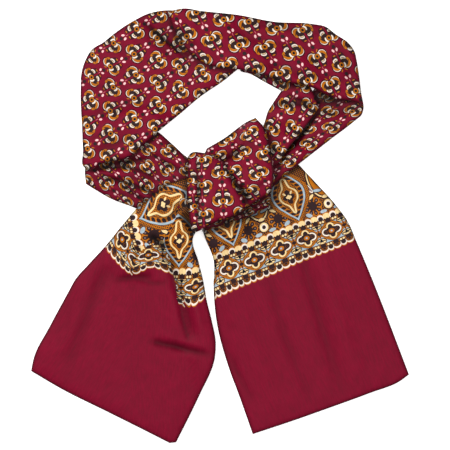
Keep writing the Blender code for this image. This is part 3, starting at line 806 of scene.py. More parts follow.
LAY_ORDER = [
    Piece("knot_back", "stretch", KNOT_BACK_EDGE, 0.0, Lay(2.6, 2.0, 6, 2, 0.8), NO_FOLDS,
          KNOT_BACK_PRINT, COARSE, (0.08, 0.11), 0.0075, []),
    Piece("strand_lower_left", "stretch", STRAND_LOWER_LEFT_EDGE, 0.0, Lay(7.8, 5.4, 12, 3, 1.3),
          STRAND_LOWER_LEFT_FOLDS, STRAND_LOWER_LEFT_PRINT, FINE, (0.09, 0.18), 0.0148,
          ["knot_back_cloth"]),
    Piece("tail_right_back", "ply", TAIL_RIGHT_EDGE, 0.6, Lay(0.0, 0.0, 20, 1, 0.4), NO_FOLDS,
          TAIL_RIGHT_PRINT, COARSE, (0.217, 0.31), 0.057, ["knot_back_cloth"]),
    Piece("tail_right_front", "ply", TAIL_RIGHT_EDGE, 0.0, Lay(2.4, 0.0, 26, 1, 0.5),
          TAIL_RIGHT_FOLDS, TAIL_RIGHT_PRINT, FINE, (0.217, 0.31), 0.057,
          ["tail_right_back_cloth"]),
    Piece("tail_left_back", "ply", TAIL_LEFT_EDGE, 0.6, Lay(0.0, 0.0, 20, 1, 0.4), NO_FOLDS,
          TAIL_LEFT_PRINT, COARSE, (0.217, 0.31), 0.047, ["strand_lower_left_cloth"]),
    Piece("tail_left_front", "ply", TAIL_LEFT_EDGE, 0.0, Lay(3.6, 0.0, 26, 1, 0.5),
          TAIL_LEFT_FOLDS, TAIL_LEFT_PRINT, FINE, (0.217, 0.31), 0.047,
          ["tail_left_back_cloth"]),
    Piece("panel_left", "stretch", PANEL_LEFT_EDGE, 0.0, Lay(7.2, 4.8, 14, 3, 1.3),
          PANEL_LEFT_FOLDS, PANEL_LEFT_PRINT, FINE, (0.14, 0.22), 0.0269,
          ["strand_lower_left_cloth"]),
    Piece("strand_right_outer", "stretch", STRAND_RIGHT_OUTER_EDGE, 0.0, Lay(6.0, 4.4, 10, 3, 1.2),
          STRAND_RIGHT_OUTER_FOLDS, STRAND_RIGHT_OUTER_PRINT, FINE, (0.06, 0.18), 0.0069,
          ["knot_back_cloth", "tail_right_front_cloth"]),
    Piece("strand_right_flap", "stretch", STRAND_RIGHT_FLAP_EDGE, 0.0, Lay(4.2, 2.8, 9, 2, 1.0),
          STRAND_RIGHT_FLAP_FOLDS, STRAND_RIGHT_FLAP_PRINT, FINE, (0.06, 0.16), 0.0068,
          ["strand_right_outer_cloth", "panel_left_cloth"]),
    Piece("panel_top", "stretch", PANEL_TOP_EDGE, 0.0, Lay(7.4, 4.8, 13, 3, 1.3),
          PANEL_TOP_FOLDS, PANEL_TOP_PRINT, FINE, (0.09, 0.25), 0.0165,
          ["panel_left_cloth", "strand_right_flap_cloth", "strand_right_outer_cloth"]),
    Piece("knot_pleats", "stretch", KNOT_PLEATS_EDGE, 0.0, Lay(4.4, 3.0, 6, 3, 0.9),
          KNOT_PLEATS_FOLDS, KNOT_PLEATS_PRINT, FINE, (0.03, 0.1), 0.0024,
          ["tail_right_front_cloth", "tail_left_front_cloth"]),
    Piece("knot_front", "stretch", KNOT_FRONT_EDGE, 0.0, Lay(10.5, 6.4, 14, 4, 1.3),
          KNOT_FRONT_FOLDS, KNOT_FRONT_PRINT, FINE, (0.1, 0.14), 0.0097,
          ["knot_pleats_cloth", "strand_right_flap_cloth", "strand_lower_left_cloth"]),
]

CLOTH_MAP = "cloth"


def dye(red, green, blue):
    """The linear colour of a dye given as red, green and blue from 0 to 255."""
    parts = [level / 255 for level in (red, green, blue)]
    return (*[p / 12.92 if p < 0.0405 else ((p + 0.055) / 1.055) ** 2.4 for p in parts], 1.0)


BURGUNDY = dye(112, 3, 34)
SHADOW_RED = dye(62, 8, 26)
GOLD = dye(172, 98, 12)
DARK_GOLD = dye(112, 60, 12)
CREAM = dye(228, 198, 142)
WHITE = dye(226, 212, 196)
BROWN = dye(44, 26, 28)
GREY = dye(122, 102, 104)
PALE_BLUE = dye(158, 174, 184)
NAVY = dye(12, 15, 24)
PINK = dye(190, 96, 104)
BLUSH = dye(232, 186, 184)

# A spot is an ellipse of one dye. Turn is in degrees, anticlockwise.
Spot = namedtuple("Spot", "x y rx ry turn dye")

# A band is one dye wherever a distance lies from low to high.
Band = namedtuple("Band", "low high dye")
FAR = 1000.0

# A ring is one dye from this depth within an outline on, between two heights.
Ring = namedtuple("Ring", "depth low high dye")

# Half of the flower, from its ring's middle outwards and up towards its stem.
FLOWER_SPOTS = [
    Spot(7, -0.6, 7.8, 7, 0, SHADOW_RED),
    Spot(4.8, 8.8, 4.3, 6.6, 0, SHADOW_RED),
    Spot(8.2, -1.5, 5.25, 4.25, 30, WHITE),
    Spot(9.2, 2.2, 3.9, 4.8, -24, BROWN),
    Spot(8.1, -0.7, 5.1, 4.2, 30, BROWN),
    Spot(8.4, -0.5, 5, 3.9, 30, GOLD),
    Spot(9.4, 2.2, 3.3, 4.2, -24, GOLD),
    Spot(10.1, 1, 0.5, 3.4, -34, BROWN),
    Spot(3.9, 11.6, 2.5, 2.7, 10, BROWN),
    Spot(4.2, 13.4, 1.8, 0.8, 0, GOLD),
    Spot(5.6, 2, 4.3, 4.9, -16, BROWN),
    Spot(5.7, 7.3, 3.9, 2.9, -20, BROWN),
    Spot(5.7, 7.5, 3.5, 2.4, -20, WHITE),
    Spot(5.5, 6.9, 2.7, 1.5, -20, GREY),
    Spot(5.4, 6.4, 2.4, 0.8, -20, CREAM),
    Spot(5.1, 4.5, 3.9, 2.1, -12, BROWN),
    Spot(3, -0.6, 3, 3.6, 0, WHITE),
    Spot(1.9, 3.4, 3.6, 2.2, 0, BROWN),
    Spot(0, 9.4, 1.2, 7.2, 0, BURGUNDY),
    Spot(0, 15.2, 0.4, 2, 0, PINK),
    Spot(2.9, -6.8, 0.8, 2, 40, GOLD),
    Spot(0, 0, 4, 4, 0, BROWN),
    Spot(0, 0, 3.3, 3.3, 0, GOLD),
    Spot(0, 0, 1.6, 1.6, 0, NAVY),
    Spot(0, -12, 2.4, 2.4, 0, BROWN),
    Spot(2.7, -16.4, 1.4, 2.2, -26, BLUSH),
]

# One repeat starts FLOWER_LOW from a ring's middle. A flower is wide at these heights.
FLOWER_LOW = -19.0
FLOWER_WIDE_LOW = -5.5
FLOWER_WIDE_HIGH = 9.5
FLOWER_WIDE_BY = 2.2

QUATREFOIL_SPOTS = [
    Spot(7.4, 0, 6.6, 5.9, 0, BROWN),
    Spot(0, 5.6, 5.7, 5.7, 0, BROWN),
    Spot(7.3, 0, 6.1, 5.3, 0, WHITE),
    Spot(0, 5.7, 5.2, 5.1, 0, CREAM),
    Spot(6.8, 0, 4.8, 3.6, 0, BROWN),
    Spot(3.4, 1.8, 3.4, 2.9, 0, BROWN),
    Spot(0, 4.9, 3.3, 4, 0, BROWN),
    Spot(7.6, 0, 2.2, 1.5, 0, DARK_GOLD),
    Spot(7.9, 0, 1.9, 1.2, 0, BROWN),
    Spot(0, 0, 3.9, 2.9, 0, GOLD),
    Spot(0, 0, 1.4, 1.1, 0, PALE_BLUE),
]

# Beside a quatrefoil's waist, measured from the knot between it and the next.
WEDGE_SPOTS = [
    Spot(0, 9.8, 7.4, 3.9, 0, BROWN),
    Spot(0, 10.1, 6.4, 3.1, 0, CREAM),
    Spot(3.6, 10.6, 2.6, 1.9, 0, BROWN),
    Spot(3.8, 11.2, 1.8, 1, 0, CREAM),
    Spot(0, 9.2, 1.8, 2.1, 0, NAVY),
    Spot(0, 3.4, 1.6, 2.4, 0, GOLD),
    Spot(0, 3.6, 0.8, 1.5, 0, BROWN),
    Spot(0, 0, 2.9, 2.1, 0, BROWN),
]

# The lens round each quatrefoil is a half wave, its bands measured in from its edge.
LENS_HEIGHT = 12.6
LENS_TURN = 0.0845
LENS_BANDS = [
    Band(-0.7, FAR, BROWN),
    Band(0, FAR, GOLD),
    Band(1.9, 2.6, BROWN),
    Band(4.4, 5, BROWN),
]

# The chain of beads and blocks within each scallop.
ROW_CHAIN = 10.7
CHAIN_HALF = 2.3
CHAIN_BLOCK = 5.0
CHAIN_SPOTS = [
    Spot(2, 0, 2.3, 2, 0, BROWN),
    Spot(1.9, 0, 1.5, 1.4, 0, CREAM),
]

# The scallop from its outer edge, half of one bead and half of one block.
SCALLOP_GROUND = 5.6
SCALLOP_CLOSED = 6.0
SCALLOP_END = 13.4
SCALLOP_BANDS = [
    Band(8, 8.8, BROWN),
    Band(9.1, 12.4, GOLD),
    Band(12.6, 13.3, BROWN),
    Band(13.3, FAR, GOLD),
]
SCALLOP_OUTLINE = [
    Spot(0, 5.6, 4.9, 5.6, 0, GOLD),
    Spot(BLOCK_X, 4.6, 5.2, 4.6, 0, GOLD),
]
LOWER_SCALLOP_SPOTS = [
    Spot(0, 5.7, 4.1, 4.3, 0, WHITE),
    Spot(BLOCK_X, 4.1, 4.7, 2.9, 0, WHITE),
    Spot(BLOCK_X, 5.9, 4.3, 2.6, 0, DARK_GOLD),
    Spot(0, 6.5, 3.3, 3.3, 0, BROWN),
    Spot(BLOCK_X, 6.6, 1.9, 1.2, 0, BROWN),
]
UPPER_SCALLOP_SPOTS = [
    Spot(0, 5.7, 4.6, 4.4, 0, WHITE),
    Spot(BLOCK_X, 4.8, 4.9, 3.6, 0, CREAM),
    Spot(0, 6.9, 3.4, 3.3, 0, BROWN),
    Spot(BLOCK_X, 8, 1.3, 1, 0, BROWN),
]

MEDALLION_FLOWER_SPOTS = [
    Spot(3.6, 0, 4.6, 3.4, 0, BROWN),
    Spot(0, 4.6, 3.4, 5, 0, BROWN),
    Spot(0, -4.6, 3.6, 4.6, 0, BROWN),
    Spot(4.8, 5, 1.2, 2.4, -40, CREAM),
    Spot(1.4, 0, 2.4, 1.8, 0, CREAM),
    Spot(0, 0, 1.8, 3, 0, CREAM),
]

# Between two medallions, measured from the middle of a medallion.
FIELD_SPOTS = [
    Spot(MIDWAY, 9, 17, 26, 0, BROWN),
    Spot(MIDWAY, 9, 15.2, 24.4, 0, CREAM),
    Spot(MIDWAY, 9, 13.6, 22.6, 0, BROWN),
    Spot(MIDWAY, 9, 12.2, 21, 0, GOLD),
    Spot(MIDWAY, 14, 8.6, 15, 0, BROWN),
    Spot(MIDWAY, 16, 6.4, 12, 0, PALE_BLUE),
    Spot(MIDWAY, 15, 4.2, 8.4, 0, BROWN),
    Spot(MIDWAY, 14, 1.8, 4.6, 0, CREAM),
    Spot(38, -4.6, 6.6, 2.6, -12, BROWN),
    Spot(38, -4.2, 5.8, 1.8, -12, PALE_BLUE),
    Spot(28.5, 2, 3.6, 8.4, 24, BROWN),
    Spot(28.5, 2, 2.8, 7.6, 24, WHITE),
    Spot(29.2, 1, 1.4, 5.2, 24, GREY),
    Spot(27, -9.6, 5.6, 2.6, 28, BROWN),
    Spot(27, -9.4, 4.8, 1.8, 28, CREAM),
    Spot(15.6, -31, 4.4, 2.6, -30, PALE_BLUE),
    Spot(36, -31.5, 4.6, 2.2, 0, PALE_BLUE),
    Spot(MIDWAY, -15, 5.4, 3, 0, BROWN),
    Spot(MIDWAY, -14.4, 4.4, 2, 0, CREAM),
    Spot(MIDWAY, -24.5, 6.6, 6.6, 0, BROWN),
    Spot(MIDWAY, -24.5, 5.8, 5.8, 0, CREAM),
    Spot(MIDWAY, -24.5, 4.2, 4.2, 0, WHITE),
    Spot(MIDWAY, -24.5, 2.5, 2.5, 0, BROWN),
]

# A palmette is a fan of these lobes, each measured from its middle along one of its spokes.
PALMETTE_X = 24.5
PALMETTE_Y = -21.0
PALMETTE_HEART = 6.0
LOBE_REACH = 9.0
LOBE_PITCH = math.radians(40)
LOBE_START = math.radians(36)
LOBE_EDGE = [
    Spot(0, 9, 4.6, 5.1, 0, BROWN),
    Spot(0, 9, 3.9, 4.4, 0, GOLD),
]
LOBE_HEART = [
    Spot(0, 8.6, 2.4, 3.6, 0, BROWN),
    Spot(0, 9.4, 0.8, 1.1, 0, GREY),
]

# Half widths of the medallion at heights from its middle, up towards the flowers.
MEDALLION_REACH = 40.0
MEDALLION_EDGE = [
    (-40, 0), (-33, 0.4), (-31, 1.4), (-27, 5), (-22, 9.4), (-16, 14), (-9, 19), (0, 22.4),
    (6, 22.6), (12, 20.6), (18, 16.4), (24, 11), (29, 5), (32, 1), (33, 0), (40, 0),
]
MEDALLION_HEART = [
    (-40, 0), (-23, 0), (-21, 2.2), (-17, 3.2), (-12, 4.6), (-8, 8.2), (-4, 11.8), (1, 13.2),
    (5, 12.6), (9, 9.4), (12, 6.2), (17, 4.8), (22, 4), (24, 2.4), (25.5, 0), (40, 0),
]
RING_BEAD_PITCH = 5.6
RING_LINE = 8.8
RING_END = 9.8
RING_BEADS = [Spot(0, 5.2, 2.1, 3, 0, BROWN)]

# The gold ground is stippled brown, and the brown one dotted gold.
DOT_TURN = 2.0
STIPPLE_FROM = 0.2
DOTS_FROM = 0.3


class Drawing:
    """Adds nodes to one shader tree. What it is given are sockets or plain numbers."""

    def __init__(self, tree):
        self.tree = tree

    def node(self, kind, values=None, **settings):
        made = self.tree.nodes.new(kind)
        for name, value in settings.items():
            setattr(made, name, value)
        for name, value in (values or {}).items():
            self.put(made.inputs[name], value)
        return made

    def put(self, socket, value):
        if isinstance(value, bpy.types.NodeSocket):
            self.tree.links.new(value, socket)
        else:
            socket.default_value = value

    def math(self, operation, *values):
        made = self.node("ShaderNodeMath", operation=operation)
        for i, value in enumerate(values):
            self.put(made.inputs[i], value)
        return made.outputs[0]

    def add(self, a, b):
        return self.math("ADD", a, b)

    def take(self, a, b):
        return self.math("SUBTRACT", a, b)

    def times(self, a, b):
        return self.math("MULTIPLY", a, b)

    def line(self, value, slope, start):
        return self.math("MULTIPLY_ADD", value, slope, start)

    def wave(self, value, turn):
        return self.math("SINE", self.times(value, turn))

    def less(self, a, b):
        return self.math("LESS_THAN", a, b)

    def more(self, a, b):
        return self.math("GREATER_THAN", a, b)

    def both(self, a, b):
        """Where two masks overlap."""
        return self.times(a, b)

    def either(self, a, b):
        return self.math("MAXIMUM", a, b)

    def between(self, value, low, high):
        return self.both(self.more(value, low), self.less(value, high))

    def size(self, value):
        return self.math("ABSOLUTE", value)

    def wrapped(self, value, low, high):
        """The value moved by whole repeats until it lies from low to high."""
        return self.math("WRAP", value, high, low)

    def from_nearest(self, value, pitch, start=0.0):
        """How far the value is from the nearest repeat that starts at start."""
        return self.size(self.wrapped(self.take(value, start), -pitch / 2, pitch / 2))

    def point(self, across, along):
        return self.node("ShaderNodeCombineXYZ", {"X": across, "Y": along}).outputs[0]

    def spot_mask(self, spot, place):
        shape = self.node("ShaderNodeTexGradient", {"Vector": place}, gradient_type="SPHERICAL")
        shape.texture_mapping.vector_type = "TEXTURE"
        shape.texture_mapping.translation = (spot.x, spot.y, 0.0)
        shape.texture_mapping.rotation = (0.0, 0.0, math.radians(spot.turn))
        shape.texture_mapping.scale = (spot.rx, spot.ry, 1.0)
        return self.more(shape.outputs["Fac"], 0.0)

    def mix(self, mask, under, over):
        made = self.node("ShaderNodeMix", data_type="RGBA")
        self.put(made.inputs["Factor"], mask)
        self.put(made.inputs[6], under)
        self.put(made.inputs[7], over)
        return made.outputs[2]

    def choose(self, mask, one, other):
        """One number, or the other where the mask is."""
        return self.node("ShaderNodeMix", {"Factor": mask, 2: one, 3: other}).outputs[0]

    def spots(self, colour, place, table):
        """The table's spots painted over the colour, one after the other."""
        for spot in table:
            colour = self.mix(self.spot_mask(spot, place), colour, spot.dye)
        return colour

    def bands(self, colour, value, table):
        for band in table:
            colour = self.mix(self.between(value, band.low, band.high), colour, band.dye)
        return colour

    def rings(self, colour, depth, height, table):
        for ring in table:
            within = self.between(height, ring.low, ring.high)
            mask = self.both(self.more(depth, ring.depth), within)
            colour = self.mix(mask, colour, ring.dye)
        return colour

    def printed(self, group, across, along):
        """The outputs of a group that draws a print at this place on the cloth."""
        places = {"Across": across, "Along": along}
        return self.node("ShaderNodeGroup", places, node_tree=group).outputs


NUMBER = "NodeSocketFloat"
COLOUR = "NodeSocketColor"
ON_CLOTH = {"Across": NUMBER, "Along": NUMBER}


def new_group(name, takes, gives):
    """A node group with these inputs and outputs, and its drawing, entry and way out."""
    tree = bpy.data.node_groups.new(name, "ShaderNodeTree")
    for title, kind in takes.items():
        tree.interface.new_socket(title, in_out="INPUT", socket_type=kind)
    for title, kind in gives.items():
        tree.interface.new_socket(title, in_out="OUTPUT", socket_type=kind)
    drawing = Drawing(tree)
    entry = drawing.node("NodeGroupInput").outputs
    way_out = drawing.node("NodeGroupOutput").inputs
    return tree, drawing, entry, way_out


def flower_group():
    """Rows of flowers, each turned half round to its neighbour."""
    tree, draw, entry, way_out = new_group("flower rows", ON_CLOTH, {"Color": COLOUR})
    half = FLOWER_ACROSS / 2
    high = FLOWER_LOW + FLOWER_ALONG
    side = draw.size(draw.wrapped(entry["Across"], -half, half))
    up = draw.wrapped(entry["Along"], FLOWER_LOW, high)
    turned = draw.line(entry["Along"], -1.0, -FLOWER_SHIFT * FLOWER_ALONG)
    down = draw.wrapped(turned, FLOWER_LOW, high)
    wide_up = draw.between(up, FLOWER_WIDE_LOW, FLOWER_WIDE_HIGH)
    wide_down = draw.between(down, FLOWER_WIDE_LOW, FLOWER_WIDE_HIGH)
    border = draw.line(draw.take(wide_up, wide_down), FLOWER_WIDE_BY, half / 2)
    is_other = draw.more(side, border)
    across = draw.choose(is_other, side, draw.take(half, side))
    along = draw.choose(is_other, up, down)
    colour = draw.spots(BURGUNDY, draw.point(across, along), FLOWER_SPOTS)
    draw.put(way_out["Color"], colour)
    return tree


def scallop_group(name, spots):
    """A scalloped row of beads and blocks. Along is the distance in from its outer edge."""
    gives = {"Color": COLOUR, "Mask": NUMBER}
    tree, draw, entry, way_out = new_group(name, ON_CLOTH, gives)
    along = entry["Along"]
    side = draw.from_nearest(entry["Across"], BEAD_PITCH, BLOCK_X)
    place = draw.point(side, along)
    outline = draw.more(along, SCALLOP_CLOSED)
    for spot in SCALLOP_OUTLINE:
        outline = draw.either(outline, draw.spot_mask(spot, place))
    colour = draw.mix(draw.more(along, SCALLOP_GROUND), GOLD, DARK_GOLD)
    colour = draw.spots(colour, place, spots)
    colour = draw.bands(colour, along, SCALLOP_BANDS)
    up = draw.add(along, -ROW_CHAIN)
    block = draw.both(draw.more(side, CHAIN_BLOCK), draw.between(up, -CHAIN_HALF, CHAIN_HALF))
    colour = draw.mix(block, colour, BROWN)
    colour = draw.spots(colour, draw.point(side, up), CHAIN_SPOTS)
    draw.put(way_out["Color"], colour)
    draw.put(way_out["Mask"], outline)
    return tree


def profile(draw, value, table, reach):
    """A smooth curve through the table's (place, half width) rows, both over reach."""
    curve = draw.node("ShaderNodeFloatCurve")
    points = curve.mapping.curves[0].points
    while len(points) > 2:
        points.remove(points[-1])
    spread = [((place + reach) / (2 * reach), width / reach) for place, width in table]
    points[0].location = spread[0]
    points[1].location = spread[-1]
    for place in spread[1:-1]:
        points.new(*place)
    curve.mapping.update()
    draw.put(curve.inputs["Value"], draw.line(value, 1 / (2 * reach), 0.5))
    return draw.times(curve.outputs[0], reach)


def quatrefoil_band(draw, across, along):
    """A row of quatrefoils, each in a lens, with wedges between the lenses."""
    side = draw.from_nearest(across, QUATREFOIL_PITCH)
    height = draw.size(draw.add(along, -ROW_QUATREFOIL))
    lens = draw.times(draw.math("COSINE", draw.times(side, LENS_TURN)), LENS_HEIGHT)
    colour = draw.bands(PALE_BLUE, draw.take(lens, height), LENS_BANDS)
    from_waist = draw.take(QUATREFOIL_PITCH / 2, side)
    colour = draw.spots(colour, draw.point(from_waist, height), WEDGE_SPOTS)
    return draw.spots(colour, draw.point(side, height), QUATREFOIL_SPOTS)


def palmettes(draw, sideways, above, ground):
    """A fan of dark lobes beside each medallion's foot, edged in gold."""
    x = draw.add(sideways, -PALMETTE_X)
    y = draw.add(above, -PALMETTE_Y)
    away = draw.math("SQRT", draw.add(draw.times(x, x), draw.times(y, y)))
    turn = draw.add(draw.math("ARCTAN2", y, x), -LOBE_START)
    turn = draw.wrapped(turn, -LOBE_PITCH / 2, LOBE_PITCH / 2)
    place = draw.point(draw.times(turn, LOBE_REACH), away)
    colour = draw.spots(ground, place, LOBE_EDGE)
    colour = draw.mix(draw.less(away, PALMETTE_HEART), colour, BROWN)
    return draw.spots(colour, place, LOBE_HEART)


def medallion_field(draw, across, along):
    """A row of medallions, with palmettes, leaves and rings between them."""
    sideways = draw.from_nearest(across, MEDALLION_PITCH, MEDALLION_START)
    above = draw.add(along, -ROW_MEDALLION)
    place = draw.point(sideways, above)
    dots = draw.times(draw.wave(across, DOT_TURN), draw.wave(along, DOT_TURN))
    stippled = draw.mix(draw.more(dots, STIPPLE_FROM), GOLD, BROWN)
    dotted = draw.mix(draw.more(dots, DOTS_FROM), BROWN, GOLD)
    colour = palmettes(draw, sideways, above, dotted)
    colour = draw.spots(colour, place, FIELD_SPOTS)

    depth = draw.take(profile(draw, above, MEDALLION_EDGE, MEDALLION_REACH), sideways)
    beaded = draw.mix(draw.less(depth, RING_END), stippled, GOLD)
    beaded = draw.mix(draw.between(depth, RING_LINE, RING_END), beaded, BROWN)
    bead_place = draw.point(draw.from_nearest(above, RING_BEAD_PITCH), depth)
    beaded = draw.spots(beaded, bead_place, RING_BEADS)
    colour = draw.rings(colour, depth, above, [
        Ring(-6.4, -36, 36, BROWN),
        Ring(-5.6, -36, 36, stippled),
        Ring(-0.7, -33, 33, BROWN),
        Ring(0, -33, 33, PALE_BLUE),
        Ring(2.7, -29, 29, beaded),
    ])
    depth = draw.take(profile(draw, above, MEDALLION_HEART, MEDALLION_REACH), sideways)
    colour = draw.rings(colour, depth, above, [
        Ring(-0.9, -24, 25, BROWN),
        Ring(-0.2, -24, 25, CREAM),
        Ring(2.4, -24, 25, stippled),
    ])
    return draw.spots(colour, place, MEDALLION_FLOWER_SPOTS)


def border_group():
    """The border: scalloped band of quatrefoils, then the medallions, then the flowers."""
    tree, draw, entry, way_out = new_group("printed border", ON_CLOTH, {"Color": COLOUR})
    across = entry["Across"]
    along = entry["Along"]
    band = quatrefoil_band(draw, across, along)
    field = medallion_field(draw, across, along)
    flowers = draw.printed(FLOWER_GROUP, across, along)
    field = draw.mix(draw.more(along, ROW_FLOWERS), field, flowers["Color"])
    colour = draw.mix(draw.more(along, ROW_FIELD), band, field)
    upper = draw.printed(UPPER_SCALLOP_GROUP, across, draw.take(ROW_UPPER_EDGE, along))
    in_upper = draw.both(upper["Mask"], draw.more(along, ROW_UPPER_EDGE - SCALLOP_END))
    colour = draw.mix(in_upper, colour, upper["Color"])
    lower = draw.printed(LOWER_SCALLOP_GROUP, across, along)
    in_lower = draw.less(along, SCALLOP_END)
    colour = draw.mix(in_lower, colour, lower["Color"])
    plain = draw.both(draw.take(1.0, lower["Mask"]), in_lower)
    draw.put(way_out["Color"], draw.mix(plain, colour, BURGUNDY))
    return tree


# The weave: its ribs, slubs drawn out along the cloth, and soft clouds from handling. Each
# pair is the slope and the start of a line that a noise is put through.
RIB_PITCH = 1.15
RIB_LEAN = 0.8
RIB_SHADE = 0.035
RIB_DEPTH = 0.03
SLUB_LENGTH = 0.14
SLUB_NOISE = {"Scale": 0.5, "Detail": 3.0}
SLUB_SHADE = (0.6, 0.7)
SLUB_ROUGHNESS = (0.14, 0.46)
SLUB_DEPTH = 0.08
CLOUD_NOISE = {"Scale": 0.045, "Detail": 2.0}
CLOUD_SHADE = (0.24, 0.88)
CLOUD_DEPTH = 1.4
# The point attribute that holds the painted shade of folds, laps and rims.
SHADE_MAP = "fold shade"


def twill_group():
    """Fine diagonal ribs, a slightly uneven dye and soft handling creases, with the painted fold
    shade multiplied into the colour.
    """
    takes = {"Color": COLOUR, **ON_CLOTH, "Rib depth": NUMBER, "Fold shade": NUMBER}
    gives = {"Color": COLOUR, "Roughness": NUMBER, "Height": NUMBER}
    tree, draw, entry, way_out = new_group("silky twill", takes, gives)
    across = entry["Across"]
    along = entry["Along"]
    diagonal = draw.add(across, draw.times(along, RIB_LEAN))
    ribs = draw.wave(diagonal, 2 * math.pi / RIB_PITCH)
    drawn_out = draw.point(across, draw.times(along, SLUB_LENGTH))
    slub = draw.node("ShaderNodeTexNoise", {"Vector": drawn_out, **SLUB_NOISE}).outputs["Fac"]
    place = draw.point(across, along)
    cloud = draw.node("ShaderNodeTexNoise", {"Vector": place, **CLOUD_NOISE}).outputs["Fac"]
    uneven = draw.times(draw.line(slub, *SLUB_SHADE), draw.line(cloud, *CLOUD_SHADE))
    # The painted fold shade, from folds, laps and rims, darkens the colour here.
    shade = draw.times(draw.line(ribs, RIB_SHADE, 1.0), entry["Fold shade"])
    dyed_and_shaded = draw.node("ShaderNodeVectorMath", operation="SCALE")
    draw.put(dyed_and_shaded.inputs[0], entry["Color"])
    draw.put(dyed_and_shaded.inputs["Scale"], draw.times(uneven, shade))
    draw.put(way_out["Color"], dyed_and_shaded.outputs[0])
    draw.put(way_out["Roughness"], draw.line(slub, *SLUB_ROUGHNESS))
    rough = draw.add(draw.times(cloud, CLOUD_DEPTH), draw.times(slub, SLUB_DEPTH))
    draw.put(way_out["Height"], draw.line(ribs, entry["Rib depth"], rough))
    return tree


FLOWER_GROUP = flower_group()
LOWER_SCALLOP_GROUP = scallop_group("lower beaded scallop", LOWER_SCALLOP_SPOTS)
UPPER_SCALLOP_GROUP = scallop_group("upper beaded scallop", UPPER_SCALLOP_SPOTS)
BORDER_GROUP = border_group()
TWILL_GROUP = twill_group()

BUMP_STRENGTH = 0.6
TWILL_LOOK = {
    "Specular IOR Level": 0.07,
    "Sheen Weight": 0.02,
    "Sheen Roughness": 0.45,
    "Sheen Tint": (1.0, 0.72, 0.8, 1.0),
}


def new_material(name, look):
    """A material, its shader and its drawing, with the look's plain values on the shader."""
    material = bpy.data.materials.new(name)
    material.use_nodes = True
    shader = material.node_tree.nodes["Principled BSDF"]
    for title, value in look.items():
        shader.inputs[title].default_value = value
    return material, shader, Drawing(material.node_tree)


def twill_material(name, print_group, scale):
    """Silky printed twill. scale turns the cloth map into millimetres across and along."""
    material, shader, draw = new_material(name, TWILL_LOOK)
    cloth = draw.node("ShaderNodeUVMap", uv_map=CLOTH_MAP).outputs[0]
    parts = draw.node("ShaderNodeSeparateXYZ", {"Vector": cloth}).outputs
    across = draw.times(parts["X"], scale[0])
    along = draw.times(parts["Y"], scale[1])
    # Painted shade from folds, laps and rims, kept on each point of the mesh.
    shade = draw.node("ShaderNodeAttribute", attribute_name=SHADE_MAP).outputs["Fac"]
    twill = draw.node("ShaderNodeGroup", {}, node_tree=TWILL_GROUP)
    draw.put(twill.inputs["Color"], draw.printed(print_group, across, along)["Color"])
    draw.put(twill.inputs["Across"], across)
    draw.put(twill.inputs["Along"], along)
    draw.put(twill.inputs["Rib depth"], RIB_DEPTH)
    draw.put(twill.inputs["Fold shade"], shade)
    draw.put(shader.inputs["Base Color"], twill.outputs["Color"])
    draw.put(shader.inputs["Roughness"], twill.outputs["Roughness"])
    relief = {"Height": twill.outputs["Height"], "Strength": BUMP_STRENGTH, "Distance": MM}
    draw.put(shader.inputs["Normal"], draw.node("ShaderNodeBump", relief).outputs[0])
    return material


FLOWER_SCALE = (FLOWER_ACROSS, FLOWER_ALONG)
BORDER_SCALE = (1.0, 1.0)

# Painted shade drawn into the dye. Folds darken by their steepness, laps and seams by how far the
# cloth round them stands higher, and rims within RIM_REACH of the edge; ridges get a painted
# highlight.
STEEP_FOLD = 0.85
PLY_TROUGH = 0.55
FOLDED_TROUGH = 0.82
DARKEST_TROUGH = 0.88
RIDGE_PAINTED_HIGHLIGHT = 0.12
LAP_REACH = 13.0
LAP_DEPTH = 5.0
LAP_SHADE = 0.28
SEAM_REACH = 3.2
SEAM_DEPTH = 2.0
SEAM_SHADE = 0.5
RIM_REACH = 2.4
RIM_ON_FLOOR = 0.2
RIM_ON_CLOTH = 0.45
RIM_LAP_REACH = 7.5
RIM_LOW = 0.6
RIM_SPAN = 0.2
THIN_CLOTH = 1.0

# The painted shade fades out on faces that turn down, as a line of how far they look up.
FACING_SLOPE = 2.0
FACING_START = 0.8


def mean_map(heights, radius):
    """The mean height round each cell."""
    steps = disc_offsets(radius)
    total = np.zeros_like(heights)
    for i, j in steps:
        total += np.roll(heights, (i, j), axis=(0, 1))
    return total / len(steps)


def vertex_values(mesh, name):
    values = np.zeros(len(mesh.vertices) * 3)
    mesh.vertices.foreach_get(name, values)
    return values.reshape(-1, 3)


